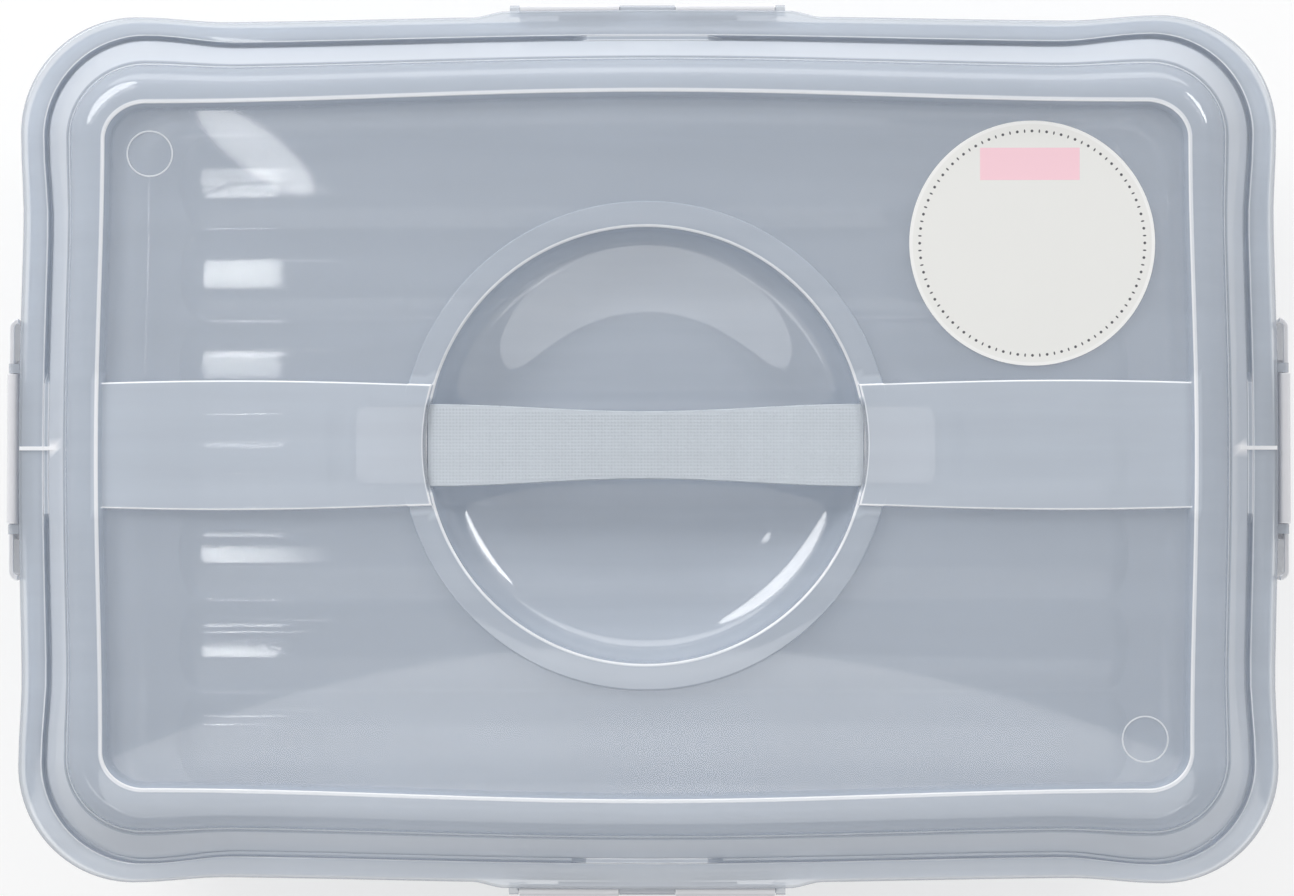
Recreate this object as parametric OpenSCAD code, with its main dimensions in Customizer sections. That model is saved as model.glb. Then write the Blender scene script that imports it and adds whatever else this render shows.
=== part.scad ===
// Rectangular cake carrier in frosted polypropylene: a tub, a lift-off lid with
// a carrying strap over a round finger dish, four hinged side clips and a label.
// X runs along the length, Y across, Z up; the origin is under the tub's middle.

/* [Rim] */
// Length of the lid over its rim, at the middle of the short sides
rim_length = 419.8; // [390:0.1:450]
// Width of the lid over its rim, at the middle of the long sides
rim_width = 289.4; // [270:0.1:320]
// Height of the closed carrier
total_height = 100; // [88:1:120]
// Corner radius of the rim
corner_radius = 39; // [34:0.5:44]
// Corner radius lost for each millimetre inwards from the rim
corner_shrink = 0.8; // [0.7:0.01:0.85]
// How far the long sides of the rim bow outwards
long_bow = 2.2; // [0:0.1:3.5]
// How far the short sides of the rim bow outwards
short_bow = 1.8; // [0:0.1:3]
// How much more the long sides bow at the panel
panel_bow_gain = 1.4; // [0:0.1:2]
// Outward swell of the corners beside the long sides, at the groove
long_ear = 2.8; // [0:0.1:3.5]
// Outward swell of the corners beside the short sides, at the groove
short_ear = 2.0; // [0:0.1:3]
// Length over which a corner's swell runs out into the side
ear_length = 32; // [24:1:40]

/* [Lid] */
// Wall thickness of the lid
lid_wall = 1.8; // [1.4:0.1:2.2]
// Height of the top ridge above the flat flange
flange_drop = 21.5; // [18:0.5:26]
// Depth of the top panel below the ridge
panel_drop = 5; // [3.5:0.5:7]
// Width of the flat flange along the long sides, from the rim to the groove
flange_width = 6.8; // [6.6:0.1:8]
// How much wider the flange is along the short sides
end_flange_gain = 1.8; // [0:0.1:2.5]
// Width of the groove behind the flange
groove_width = 1.6; // [1.2:0.1:2]
// Depth of the groove, which also presses the lid into the tub
groove_depth = 5; // [3:0.5:6.5]
// Height of the skirt that hangs around the tub's rim
skirt_height = 6.5; // [5:0.1:7]
// Width of the sloping band between the groove and the step
slope_width = 7.6; // [6:0.1:9]
// Height of the small step above the sloping band
step_height = 0.9; // [0.4:0.1:1.5]
// Radius of the round shoulder below the ridge
shoulder_radius = 11; // [9:0.5:12]
// Width of the ridge's flat top
ridge_width = 1.3; // [0.8:0.1:2]

/* [Tub] */
// Wall thickness of the tub
tub_wall = 1.8; // [1.4:0.1:2.2]
// Thickness of the tub's floor
floor_thickness = 2.2; // [1.8:0.1:3]
// Gap all round where the lid sits over the tub's rim
seat_gap = 0.3; // [0.2:0.05:0.5]
// Height of the tub's upright rim above its lip
rim_height = 5.9; // [5.7:0.1:7]
// Thickness of the lip that the clips reach under
lip_thickness = 2.0; // [1.6:0.1:2.4]
// How far the tub's sides lean in between the lip and the floor
wall_lean = 11.6; // [6:0.1:14]
// Radius inside the tub between its walls and its floor
floor_fillet = 10; // [6:0.5:14]
// Number of raised ribs on the floor
floor_ribs = 7; // [3:1:7]
// Distance between the middles of two floor ribs
rib_pitch = 33.2; // [32.6:0.1:33.6]
// Width of a floor rib
rib_width = 31; // [22:0.5:32]
// Length of a floor rib's straight part
rib_length = 308; // [240:1:316]
// Height of a floor rib above the floor
rib_height = 1.8; // [1:0.1:2.5]

/* [Dish] */
// Radius of the dish at its rim
dish_radius = 71.4; // [66:0.1:76]
// Width of the raised ring round the dish
ring_width = 9; // [7:0.1:12]
// Height of the raised ring above the panel
ring_height = 2.5; // [2:0.1:3]
// Depth of the dish below the panel
dish_depth = 17; // [13:0.5:18.5]
// Radius of the flat bottom of the dish
dish_flat = 40; // [30:1:48]

/* [Bands] */
// Width of a raised band at the dish
band_width = 40; // [37:0.1:42]
// How much wider a band is at its widest place
band_swell = 3; // [0:0.1:4]
// Height of a raised band above the panel, at the dish
band_height = 4; // [3.9:0.1:4.4]
// Height of a raised band above the panel, at the ridge
band_end_height = 2.4; // [1.5:0.1:3.9]
// Length of the pocket that takes the end of the strap
pocket_length = 28; // [26:0.5:34]

/* [Strap] */
// Width of the strap at the slots
strap_width = 27; // [24:0.5:30]
// Width of the strap at its middle
strap_waist = 22.2; // [18:0.1:24]
// Thickness of the strap's ends
strap_thickness = 1.6; // [1.2:0.1:1.7]
// Thickness of the strap's grip
grip_thickness = 2.2; // [1.8:0.1:2.6]
// Length of the strap's grip
grip_length = 56; // [40:1:70]
// How far the middle of the strap stands above its ends
strap_crown = 1.2; // [0.6:0.1:1.4]
// Length of the tab inside each pocket
tab_length = 23.2; // [18:0.1:24]
// Running gap round the strap in its slot
slot_gap = 0.3; // [0.25:0.05:0.4]

/* [Clips] */
// Length of a clip
clip_length = 88; // [84:1:96]
// Height of a clip below the middle of its rod
clip_height = 25.2; // [22:0.1:34]
// Thickness of a clip's plate
clip_plate = 1.7; // [1.3:0.1:2]
// Radius of the hinge rods
rod_radius = 0.9; // [0.7:0.05:1]
// Running clearance between a rod and its knuckle
rod_clearance = 0.08; // [0.05:0.01:0.1]
// Outer radius of the knuckles
knuckle_radius = 2; // [1.8:0.05:2.2]
// Gap between the knuckles and the rim
knuckle_gap = 0.3; // [0.3:0.05:0.5]
// Depth of the rods' middle below the top of the flange
rod_drop = 3.3; // [3:0.1:3.6]
// Length of one knuckle on the long sides, where there are two
long_knuckle = 33; // [28:0.5:33]
// Width of the lug between those two knuckles
middle_lug = 18.4; // [14:0.2:19]
// Length of the one knuckle on the short sides
short_knuckle = 50; // [40:1:60]
// Width of the lugs at the ends of a rod
end_lug = 3.2; // [2.4:0.1:3.4]
// Length of the hook inside a clip
hook_length = 60; // [40:1:70]
// Reach of the finger lip past the knuckle, on the short sides
short_lip = 0.8; // [0.3:0.1:1.5]

/* [Label] */
// Radius of the round label
label_radius = 40.2; // [30:0.1:42]
// Thickness of the round label
label_thickness = 0.2; // [0.1:0.05:0.4]
// Distance of the label's middle from the lid's right end
label_end_distance = 83.4; // [80:0.1:86]
// Distance of the label's middle from the lid's back side
label_side_distance = 78.5; // [76:0.1:80]

/* [Hidden] */
$fn = 96;

// Heights
ridge_z = total_height;
panel_z = ridge_z - panel_drop;
flange_z = ridge_z - flange_drop;
tub_rim_z = flange_z - lid_wall - seat_gap;
lip_top_z = tub_rim_z - rim_height;
lip_under_z = lip_top_z - lip_thickness;
rod_z = flange_z - rod_drop;
step_z = ridge_z - shoulder_radius - step_height;
dish_z = panel_z - dish_depth;
band_z = panel_z + band_height;
ring_z = panel_z + ring_height;

// Insets from the rim
groove_inner = flange_width + groove_width;
step_inset = groove_inner + slope_width;
shoulder_inset = step_inset + 0.6;
ridge_outer = shoulder_inset + shoulder_radius;
ridge_inner = ridge_outer + ridge_width;
panel_inset = ridge_inner + 2.2;
skirt_inner = lid_wall;
tub_outer = skirt_inner + 1.6;
tub_inner = tub_outer + tub_wall;
plug_outer = tub_inner + seat_gap;
plug_inner = groove_inner + lid_wall;
plug_z = flange_z - groove_depth - lid_wall;
edge_round = 0.4;
lip_inset = 0.3;

// Steps of the outline
long_steps = 7;
corner_steps = 7;
short_steps = 5;

module frosted() color([0.78, 0.81, 0.85, 0.8]) children();

module clear_clip() color([0.84, 0.86, 0.89, 0.85]) children();

// A side's distance from the straight line through its middle: a cosine bow and a swell at its end.
function side_offset(s, end, bow, ear) =
    -bow * (1 - cos(180 * s / end)) / 2
    + (s > end - ear_length ? ear * (1 + cos(180 * (end - s) / ear_length)) / 2 : 0);

// The swell at an inset: full at the groove, gone at the shoulder.
function ear_share(d) = lookup(d, [[0, 0.68], [8, 1], [17, 0.4], [27, 0]]);

// One quarter of the outline at an inset from the rim, from the middle of a long side to the
// middle of a short side.
function quarter(d) =
    let (
        a = rim_length / 2 - d - end_flange_gain * min(max(d / flange_width, 0), 1),
        b = rim_width / 2 - d,
        r = corner_radius - corner_shrink * d,
        xs = a - r,
        ys = b - r,
        bow_l = long_bow + panel_bow_gain * min(d / panel_inset, 1),
        ear_l = long_ear * ear_share(d),
        ear_s = short_ear * ear_share(d),
        xe = a - short_bow + ear_s,
        ye = b - bow_l + ear_l
    )
    concat(
        [for (i = [0:long_steps - 1]) let (x = xs * sin(90 * i / long_steps))
            [x, b + side_offset(x, xs, bow_l, ear_l)]],
        [for (i = [0:corner_steps]) let (t = 90 * i / corner_steps)
            [xs + (xe - xs) * sin(t), ys + (ye - ys) * cos(t)]],
        [for (i = [1:short_steps]) let (y = ys * cos(90 * i / short_steps))
            [a + side_offset(y, ys, short_bow, ear_s), y]]
    );

quarter_steps = long_steps + corner_steps + short_steps;
ring_points = 4 * quarter_steps;

// The whole outline, clockwise from the middle of the back.
function outline(d) =
    let (q = quarter(d), n = quarter_steps)
    concat(
        [for (i = [0:n - 1]) q[i]],
        [for (i = [0:n - 1]) [q[n - i].x, -q[n - i].y]],
        [for (i = [0:n - 1]) [-q[i].x, -q[i].y]],
        [for (i = [0:n - 1]) [-q[n - i].x, q[n - i].y]]
    );

// A closed solid through outlines at [inset, height] pairs, from its upper cap to its lower one.
module loft(profile) {
    rings = len(profile);
    n = ring_points;
    points = [for (p = profile) for (q = outline(p[0])) [q.x, q.y, p[1]]];
    sides = [for (j = [0:rings - 2]) for (i = [0:n - 1]) for (half = [0, 1])
        let (a = j * n + i, b = j * n + (i + 1) % n, c = b + n, e = a + n)
        half == 0 ? [a, e, c] : [a, c, b]];
    caps = [[for (i = [0:n - 1]) i], [for (i = [n - 1:-1:0]) (rings - 1) * n + i]];
    polyhedron(points = points, faces = concat(caps, sides), convexity = 8);
}

// Points of a quarter of an ellipse, as [inset, height] pairs.
function quarter_arc(c, rx, rz, from, to, steps) =
    [for (i = [0:steps]) let (t = from + (to - from) * i / steps) [c[0] - rx * sin(t), c[1] + rz * cos(t)]];

// The lid's section, over the top from the panel to the skirt and back inside.
lid_profile = concat(
    [[panel_inset, panel_z], [ridge_inner + 0.6, ridge_z - 1], [ridge_inner, ridge_z - 0.2]],
    quarter_arc([ridge_outer, ridge_z - shoulder_radius], shoulder_radius, shoulder_radius, 0, 90, 5),
    [
        [step_inset, step_z],
        [groove_inner + 0.2, flange_z + 0.3],
        [groove_inner, flange_z - groove_depth],
        [flange_width + 0.2, flange_z - groove_depth],
        [flange_width, flange_z],
        [3 * edge_round, flange_z],
        [0, flange_z - 3 * edge_round],
        [0, flange_z - skirt_height + edge_round],
        [edge_round, flange_z - skirt_height],
        [skirt_inner, flange_z - skirt_height],
        [skirt_inner, flange_z - lid_wall],
        [plug_outer, flange_z - lid_wall],
        [plug_outer, plug_z + edge_round],
        [plug_outer + edge_round, plug_z],
        [plug_inner - edge_round, plug_z],
        [plug_inner, plug_z + edge_round],
        [plug_inner + 0.2, flange_z - lid_wall / 2],
        [step_inset + lid_wall, step_z - lid_wall / 2]
    ],
    quarter_arc([ridge_outer, ridge_z - shoulder_radius], shoulder_radius - lid_wall,
        shoulder_radius - lid_wall, 80, 0, 3),
    [[panel_inset - 0.9, panel_z - lid_wall]]
);

// A fillet between a floor at height z and the leaning wall, as [inset, height] pairs.
lean_angle = atan(wall_lean / (lip_under_z - floor_thickness));
foot_steps = 4;

function foot_arc(corner_inset, z, radius) =
    let (c = [corner_inset + radius * tan((90 - lean_angle) / 2), z + radius])
    [for (i = [0:foot_steps]) let (t = (90 - lean_angle) * i / foot_steps)
        [c[0] - radius * sin(t), c[1] - radius * cos(t)]];

function backwards(list) = [for (i = [len(list) - 1:-1:0]) list[i]];

// The tub's section, from its floor up the inside, over the rim and lip and down the outside.
tub_profile = concat(
    foot_arc(tub_inner + wall_lean, floor_thickness, floor_fillet),
    [
        [tub_inner, lip_under_z],
        [tub_inner, tub_rim_z - edge_round],
        [tub_inner - edge_round, tub_rim_z],
        [tub_outer + edge_round, tub_rim_z],
        [tub_outer, tub_rim_z - edge_round],
        [tub_outer, lip_top_z],
        [lip_inset + edge_round, lip_top_z],
        [lip_inset, lip_top_z - edge_round],
        [lip_inset, lip_under_z + edge_round],
        [lip_inset + edge_round, lip_under_z],
        [tub_outer, lip_under_z]
    ],
    backwards(foot_arc(tub_outer + lip_under_z * tan(lean_angle), 0, floor_fillet + tub_wall))
);

// A long low crown: a slice of a lying cylinder with a slice of a ball at each end.
module crown(z) {
    radius = (rib_width * rib_width / 4 + rib_height * rib_height) / (2 * rib_height);
    intersection() {
        translate([0, 0, z + rib_height - radius])
            union() {
                rotate([0, 90, 0])
                    cylinder(r = radius, h = rib_length, center = true);
                for (side = [-1, 1])
                    translate([side * rib_length / 2, 0, 0])
                        sphere(r = radius);
            }
        translate([-rib_length, -rib_width, z - floor_thickness / 2])
            cube([2 * rib_length, 2 * rib_width, rib_height + floor_thickness]);
    }
}

module each_rib()
    for (i = [0:floor_ribs - 1])
        translate([0, (i - (floor_ribs - 1) / 2) * rib_pitch, 0])
            children();

module tub() frosted()
    difference() {
        union() {
            loft(tub_profile);
            each_rib()
                crown(floor_thickness);
        }
        each_rib()
            crown(0);
    }

// Places its children at the middle of a side, with Y outwards from the rim.
module at_long_side(side)
    rotate([0, 0, side > 0 ? 0 : 180])
        translate([0, rim_width / 2, 0])
            children();

module at_short_side(side)
    rotate([0, 0, side > 0 ? -90 : 90])
        translate([0, rim_length / 2, 0])
            children();

// The dish's wall is a quarter of an ellipse between its flat bottom and its rim.
dish_wall_rise = dish_depth - 1;
dish_steps = 9;

function dish_wall(offset) =
    [for (i = [0:dish_steps]) let (t = 90 * i / dish_steps)
        [dish_flat + (dish_radius - 0.5 - dish_flat + offset) * sin(t),
            dish_z + (dish_wall_rise + offset) * (1 - cos(t)) - offset]];

// The dish with the raised ring round it, revolved as one thin wall.
module dish() {
    ring_outer = dish_radius + ring_width;
    tongue = 1.2;
    rotate_extrude()
        polygon(concat(
            [[0, dish_z]],
            dish_wall(0),
            [
                [dish_radius, ring_z - 0.9],
                [dish_radius + 0.3, ring_z - 0.3],
                [dish_radius + 0.9, ring_z],
                [ring_outer - 0.7, ring_z],
                [ring_outer - 0.3, ring_z - 0.4],
                [ring_outer, panel_z - 0.5],
                [ring_outer + tongue, panel_z - 0.5],
                [ring_outer + tongue, panel_z - lid_wall + 0.5],
                [ring_outer - lid_wall, panel_z - lid_wall + 0.5],
                [ring_outer - lid_wall - 0.2, ring_z - lid_wall],
                [dish_radius + lid_wall + 0.2, ring_z - lid_wall]
            ],
            backwards(dish_wall(lid_wall)),
            [[0, dish_z - lid_wall]]
        ));
}

// Places of the pocket for the strap's end, inside the band on the right.
pocket_half = strap_width / 2 + slot_gap + 0.4;
pocket_height = strap_thickness + 2 * slot_gap;
pocket_end = dish_radius + pocket_length;
band_end = rim_length / 2 - end_flange_gain - ridge_inner - 0.4;

module mirrored_x()
    for (side = [0, 1])
        mirror([side, 0, 0])
            children();

// Half of a band's width: it swells between the dish and the ridge.
band_steps = 12;
band_run = band_end - dish_radius;

function band_half(x) = (band_width + band_swell * sin(150 * (x - dish_radius) / band_run)) / 2;

// A raised band: its plan crossed with its side view, both made smaller by the inset.
module band(inset, from, to, bottom) {
    places = [for (i = [0:band_steps]) from + (to - from) * i / band_steps];
    fall = (band_height - band_end_height) / band_run;
    intersection() {
        translate([0, 0, bottom])
            linear_extrude(height = 2 * panel_drop)
                polygon(concat(
                    [for (x = places) [x, band_half(x) - inset]],
                    [for (x = backwards(places)) [x, inset - band_half(x)]]
                ));
        rotate([90, 0, 0])
            linear_extrude(height = 2 * band_width, center = true)
                polygon([
                    [from, bottom],
                    [to, bottom],
                    [to, band_z - inset - fall * (to - dish_radius)],
                    [from, band_z - inset - fall * (from - dish_radius)]
                ]);
    }
}

// The bands end in line with the dish's rim, on the ring round it.
module bands()
    mirrored_x() {
        difference() {
            band(0, dish_radius - 4, band_end, panel_z - 0.6);
            translate([0, 0, panel_z - 1])
                cylinder(r = dish_radius + 0.3, h = 2 * panel_drop);
        }
        translate([dish_radius, -pocket_half - lid_wall, panel_z - lid_wall + 0.2])
            cube([pocket_length + lid_wall, 2 * (pocket_half + lid_wall), lid_wall + 0.2]);
    }

// What is hollow in the bands: the pocket with its slot, and the space beyond it.
module band_hollows()
    mirrored_x() {
        translate([dish_radius - 6, -pocket_half, panel_z])
            cube([pocket_length + 6, 2 * pocket_half, pocket_height]);
        band(lid_wall, pocket_end + 2 * lid_wall, band_end - 2.5, panel_z - 3);
    }

// One hinge rod with its lugs, beside the middle of a side.
rod_u = knuckle_radius + knuckle_gap;
lug_radius = rod_radius + 0.6;
lug_root = 0.9;
lug_gap = 0.3;
long_rod = middle_lug + 2 * (lug_gap + long_knuckle + lug_gap + end_lug);
short_rod = short_knuckle + 2 * (lug_gap + end_lug);

module lug(x, width) {
    translate([x - width / 2, rod_u, rod_z])
        rotate([0, 90, 0])
            cylinder(r = lug_radius, h = width);
    translate([x - width / 2, -lug_root, rod_z - lug_radius])
        cube([width, rod_u + lug_root, 2 * lug_radius]);
}

module rod(length, lugs) {
    translate([0, rod_u, rod_z])
        rotate([0, 90, 0])
            cylinder(r = rod_radius, h = length - end_lug, center = true);
    for (l = lugs)
        lug(l[0], l[1]);
}

module hinge_rods() {
    long_end = long_rod / 2 - end_lug / 2;
    short_end = short_rod / 2 - end_lug / 2;
    for (side = [-1, 1]) {
        at_long_side(side)
            rod(long_rod, [[-long_end, end_lug], [0, middle_lug], [long_end, end_lug]]);
        at_short_side(side)
            rod(short_rod, [[-short_end, end_lug], [short_end, end_lug]]);
    }
}

// The rim reaches out over the clips on the long sides, as a thin bay with tapered ends.
bay_reach = 1.9;
bay_root = 1.6;
bay_taper = 11.5;
gusset_share = 0.8;

module rim_bays()
    for (side = [-1, 1])
        at_long_side(side) {
            translate([0, 0, rod_z + knuckle_radius + knuckle_gap])
                linear_extrude(height = rod_drop - knuckle_radius - knuckle_gap)
                    polygon([
                        [-long_rod / 2 - bay_taper, -bay_root],
                        [long_rod / 2 + bay_taper, -bay_root],
                        [long_rod / 2, bay_reach],
                        [-long_rod / 2, bay_reach]
                    ]);
            for (end = [0, 1])
                mirror([end, 0, 0])
                    translate([0, 0, rod_z - lug_radius])
                        linear_extrude(height = lug_radius + knuckle_radius + knuckle_gap + 0.1)
                            polygon([
                                [long_rod / 2 - end_lug / 2, -lug_root],
                                [long_rod / 2 + bay_taper * gusset_share, -lug_root],
                                [long_rod / 2, bay_reach],
                                [long_rod / 2 - end_lug / 2, bay_reach]
                            ]);
        }

// Raised rib across the flange and the slope, at the middle of each short side.
rim_rib_width = 1.3;
rim_rib_height = 0.6;
end_groove_inner = groove_inner + end_flange_gain;

module rim_ribs()
    for (side = [-1, 1])
        at_short_side(side)
            translate([-rim_rib_width / 2, 0, 0])
                rotate([90, 0, 90])
                    linear_extrude(height = rim_rib_width)
                        polygon([
                            [-0.4, flange_z - 1.2],
                            [-0.6, flange_z + rim_rib_height],
                            [-end_groove_inner, flange_z + rim_rib_height],
                            [-end_groove_inner - 3, flange_z + rim_rib_height + 3.9],
                            [-end_groove_inner - 3.4, flange_z + 2.4],
                            [-end_groove_inner - 0.6, flange_z - 1.2]
                        ]);

// Solid bridges across the groove, beside each clip.
bridge_length = 49;

module groove_bridge(groove_end)
    translate([-bridge_length / 2, -groove_end - 0.5, flange_z - groove_depth - 0.5])
        cube([bridge_length, groove_width + 1, groove_depth + 0.2]);

// Shallow round marks left by the mould's pins, at two corners of the panel.
mark_radius = 7.4;
mark_depth = 0.25;
mark_x = rim_length / 2 - 46.9;
mark_y = rim_width / 2 - 48.7;

module mould_marks()
    for (side = [-1, 1])
        translate([side * mark_x, -side * mark_y, panel_z - mark_depth])
            cylinder(r = mark_radius, h = 1);

module lid_shell() frosted()
    difference() {
        union() {
            difference() {
                loft(lid_profile);
                translate([0, 0, panel_z - lid_wall - 1])
                    cylinder(r = dish_radius + ring_width - 0.2, h = lid_wall + 2);
            }
            dish();
            bands();
            hinge_rods();
            rim_bays();
            rim_ribs();
            for (side = [-1, 1]) {
                at_long_side(side)
                    groove_bridge(groove_inner);
                at_short_side(side)
                    groove_bridge(end_groove_inner);
            }
        }
        band_hollows();
        mould_marks();
    }

// A clip: a plate that hangs from knuckles, with a hook inside and a finger lip below.
plate_outer = rod_u + knuckle_radius;
plate_inner = plate_outer - clip_plate;
plate_top = -rod_radius - 1.5;
hook_top = lip_under_z - 0.5 - rod_z;
hook_tip = 0.15;
plate_corner = 6;

// The plate's face, with round lower corners.
module plate_face() {
    half = clip_length / 2;
    translate([-half, -clip_height + plate_corner])
        square([clip_length, clip_height + plate_top - plate_corner]);
    translate([-half + plate_corner, -clip_height])
        square([clip_length - 2 * plate_corner, plate_corner + 1]);
    for (side = [-1, 1])
        translate([side * (half - plate_corner), -clip_height + plate_corner])
            circle(r = plate_corner);
}

module plate(lip) {
    intersection() {
        rotate([90, 0, 90])
            linear_extrude(height = clip_length + 2, center = true)
                polygon([
                    [plate_inner, plate_top],
                    [plate_outer, plate_top],
                    [plate_outer, -clip_height + 6],
                    [plate_outer + lip, -clip_height + 1],
                    [plate_outer + lip - 0.4, -clip_height],
                    [plate_inner + lip, -clip_height],
                    [plate_inner, -clip_height + 4.5]
                ]);
        translate([0, plate_outer + 5, 0])
            rotate([90, 0, 0])
                linear_extrude(height = 12)
                    plate_face();
    }
}

module knuckle(x, length) {
    translate([x - length / 2, rod_u, 0])
        rotate([0, 90, 0])
            cylinder(r = knuckle_radius, h = length);
    translate([x - length / 2, plate_inner, plate_top - 0.5])
        cube([length, clip_plate, -plate_top + 0.5]);
}

module clip(lip, knuckles)
    translate([0, 0, rod_z])
        difference() {
            union() {
                plate(lip);
                for (k = knuckles)
                    knuckle(k[0], k[1]);
                rotate([90, 0, 90])
                    linear_extrude(height = hook_length, center = true)
                        polygon([
                            [plate_inner + 0.3, hook_top],
                            [hook_tip, hook_top],
                            [hook_tip, hook_top - 0.9],
                            [plate_inner + 0.3, hook_top - 3.2]
                        ]);
            }
            translate([0, rod_u, 0])
                rotate([0, 90, 0])
                    cylinder(r = rod_radius + rod_clearance, h = clip_length + 10, center = true);
        }

knuckle_x = middle_lug / 2 + lug_gap + long_knuckle / 2;

module long_clip(side) clear_clip()
    at_long_side(side)
        clip(0, [[-knuckle_x, long_knuckle], [knuckle_x, long_knuckle]]);

module short_clip(side) clear_clip()
    at_short_side(side)
        clip(short_lip, [[0, short_knuckle]]);

module clip_front() long_clip(-1);

module clip_back() long_clip(1);

module clip_left() short_clip(-1);

module clip_right() short_clip(1);

// The strap: its height, thickness and width change smoothly between its middle and the slots.
strap_reach = dish_radius - 0.2;
strap_steps = 10;
strap_z = panel_z + slot_gap + strap_thickness / 2;

function swell(x) = (1 + cos(180 * min(abs(x) / strap_reach, 1))) / 2;

function strap_middle(x) = strap_z + strap_crown * swell(x);

function strap_half(x) = (strap_thickness + (grip_thickness - strap_thickness) * swell(x)) / 2;

function strap_side(x) = (strap_width + (strap_waist - strap_width) * swell(x)) / 2;

// Part of the strap between two places along X: its side view crossed with its plan.
module strap_part(from, to) {
    places = [for (i = [0:strap_steps]) from + (to - from) * i / strap_steps];
    color([0.75, 0.78, 0.82])
        intersection() {
            rotate([90, 0, 0])
                linear_extrude(height = 2 * strap_width, center = true)
                    polygon(concat(
                        [for (x = places) [x, strap_middle(x) + strap_half(x)]],
                        [for (x = backwards(places)) [x, strap_middle(x) - strap_half(x)]]
                    ));
            translate([0, 0, strap_z - 5])
                linear_extrude(height = 12)
                    polygon(concat(
                        [for (x = places) [x, strap_side(x)]],
                        [for (x = backwards(places)) [x, -strap_side(x)]]
                    ));
        }
}

module strap_grip() strap_part(-grip_length / 2, grip_length / 2);

module strap_flex_right() strap_part(grip_length / 2, strap_reach);

module strap_flex_left() strap_part(-strap_reach, -grip_length / 2);

// The flat end of the strap, which slides in its pocket.
tab_width = 25;
tab_corner = 4;

module strap_tab() {
    start = strap_reach + slot_gap;
    color([0.76, 0.79, 0.83])
        translate([0, 0, strap_z - strap_thickness / 2])
            linear_extrude(height = strap_thickness) {
                translate([start, -tab_width / 2])
                    square([tab_length - tab_corner, tab_width]);
                translate([start, -tab_width / 2 + tab_corner])
                    square([tab_length, tab_width - 2 * tab_corner]);
                for (side = [-1, 1])
                    translate([start + tab_length - tab_corner, side * (tab_width / 2 - tab_corner)])
                        circle(r = tab_corner);
            }
}

module strap_tab_right() strap_tab();

module strap_tab_left()
    mirror([1, 0, 0])
        strap_tab();

module round_label() color([0.93, 0.93, 0.91])
    translate([rim_length / 2 - label_end_distance, rim_width / 2 - label_side_distance, panel_z])
        cylinder(r = label_radius, h = label_thickness);

tub();
lid_shell();
clip_front();
clip_back();
clip_left();
clip_right();
strap_grip();
strap_flex_left();
strap_flex_right();
strap_tab_left();
strap_tab_right();
round_label();
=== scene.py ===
import math

import bmesh
import bpy
import numpy as np
from mathutils import Matrix, Quaternion, Vector


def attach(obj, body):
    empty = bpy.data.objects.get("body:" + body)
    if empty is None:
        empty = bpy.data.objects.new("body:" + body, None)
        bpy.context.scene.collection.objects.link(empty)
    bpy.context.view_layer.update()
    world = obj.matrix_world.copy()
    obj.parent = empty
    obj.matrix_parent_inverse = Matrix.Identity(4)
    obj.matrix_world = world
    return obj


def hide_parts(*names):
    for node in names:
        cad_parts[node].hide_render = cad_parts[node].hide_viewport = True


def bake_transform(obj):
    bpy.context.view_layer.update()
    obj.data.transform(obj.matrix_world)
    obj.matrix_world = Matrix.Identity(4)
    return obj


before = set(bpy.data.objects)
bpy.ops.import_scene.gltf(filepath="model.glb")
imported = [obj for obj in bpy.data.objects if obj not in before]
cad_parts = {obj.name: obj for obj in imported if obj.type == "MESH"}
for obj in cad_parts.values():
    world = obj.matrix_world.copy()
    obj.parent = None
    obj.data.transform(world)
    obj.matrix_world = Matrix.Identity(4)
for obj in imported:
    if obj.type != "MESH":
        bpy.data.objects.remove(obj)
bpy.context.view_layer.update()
MM = 0.001

bl_info = {
    "name": "Rectangular cake carrier",
    "version": (1, 0, 0),
    "blender": (4, 5, 0),
    "location": "3D View > Sidebar > Cake carrier",
    "description": "Makes a frosted cake carrier with a clip-on lid and a carrying strap",
    "category": "Add Mesh",
}


# Settings


def length(name, millimetres, description):
    """A length, given in millimetres and kept in metres."""
    return bpy.props.FloatProperty(
        name=name, description=description, default=millimetres * MM, precision=5, unit="LENGTH"
    )


def share(name, value, description):
    """A number from 0 to 1."""
    return bpy.props.FloatProperty(
        name=name, description=description, default=value, min=0, max=1, subtype="FACTOR"
    )


def colour(name, value, description):
    """A linear colour."""
    return bpy.props.FloatVectorProperty(
        name=name, description=description, default=value, size=3, min=0, max=1, subtype="COLOR"
    )


class CarrierRim(bpy.types.PropertyGroup):
    """The outline that every ring of the tub and the lid follows."""

    rim_length: length("Length", 419.8, "Length over the rim, at the middle of the short sides")
    rim_width: length("Width", 289.4, "Width over the rim, at the middle of the long sides")
    total_height: length("Height", 100, "Height of the closed carrier")
    corner_radius: length("Corner radius", 39, "Corner radius of the rim")
    corner_shrink: share("Corner shrink", 0.8, "Corner radius lost for each unit of length inwards")
    long_bow: length("Long bow", 2.2, "How far the long sides of the rim bow outwards")
    short_bow: length("Short bow", 1.8, "How far the short sides of the rim bow outwards")
    panel_bow_gain: length("Bow gain", 1.4, "How much more the long sides bow at the panel")
    long_ear: length("Long ear", 2.8, "Outward swell of the corners beside the long sides")
    short_ear: length("Short ear", 2.0, "Outward swell of the corners beside the short sides")
    ear_length: length("Ear length", 32, "Length over which a corner's swell runs out")


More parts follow.
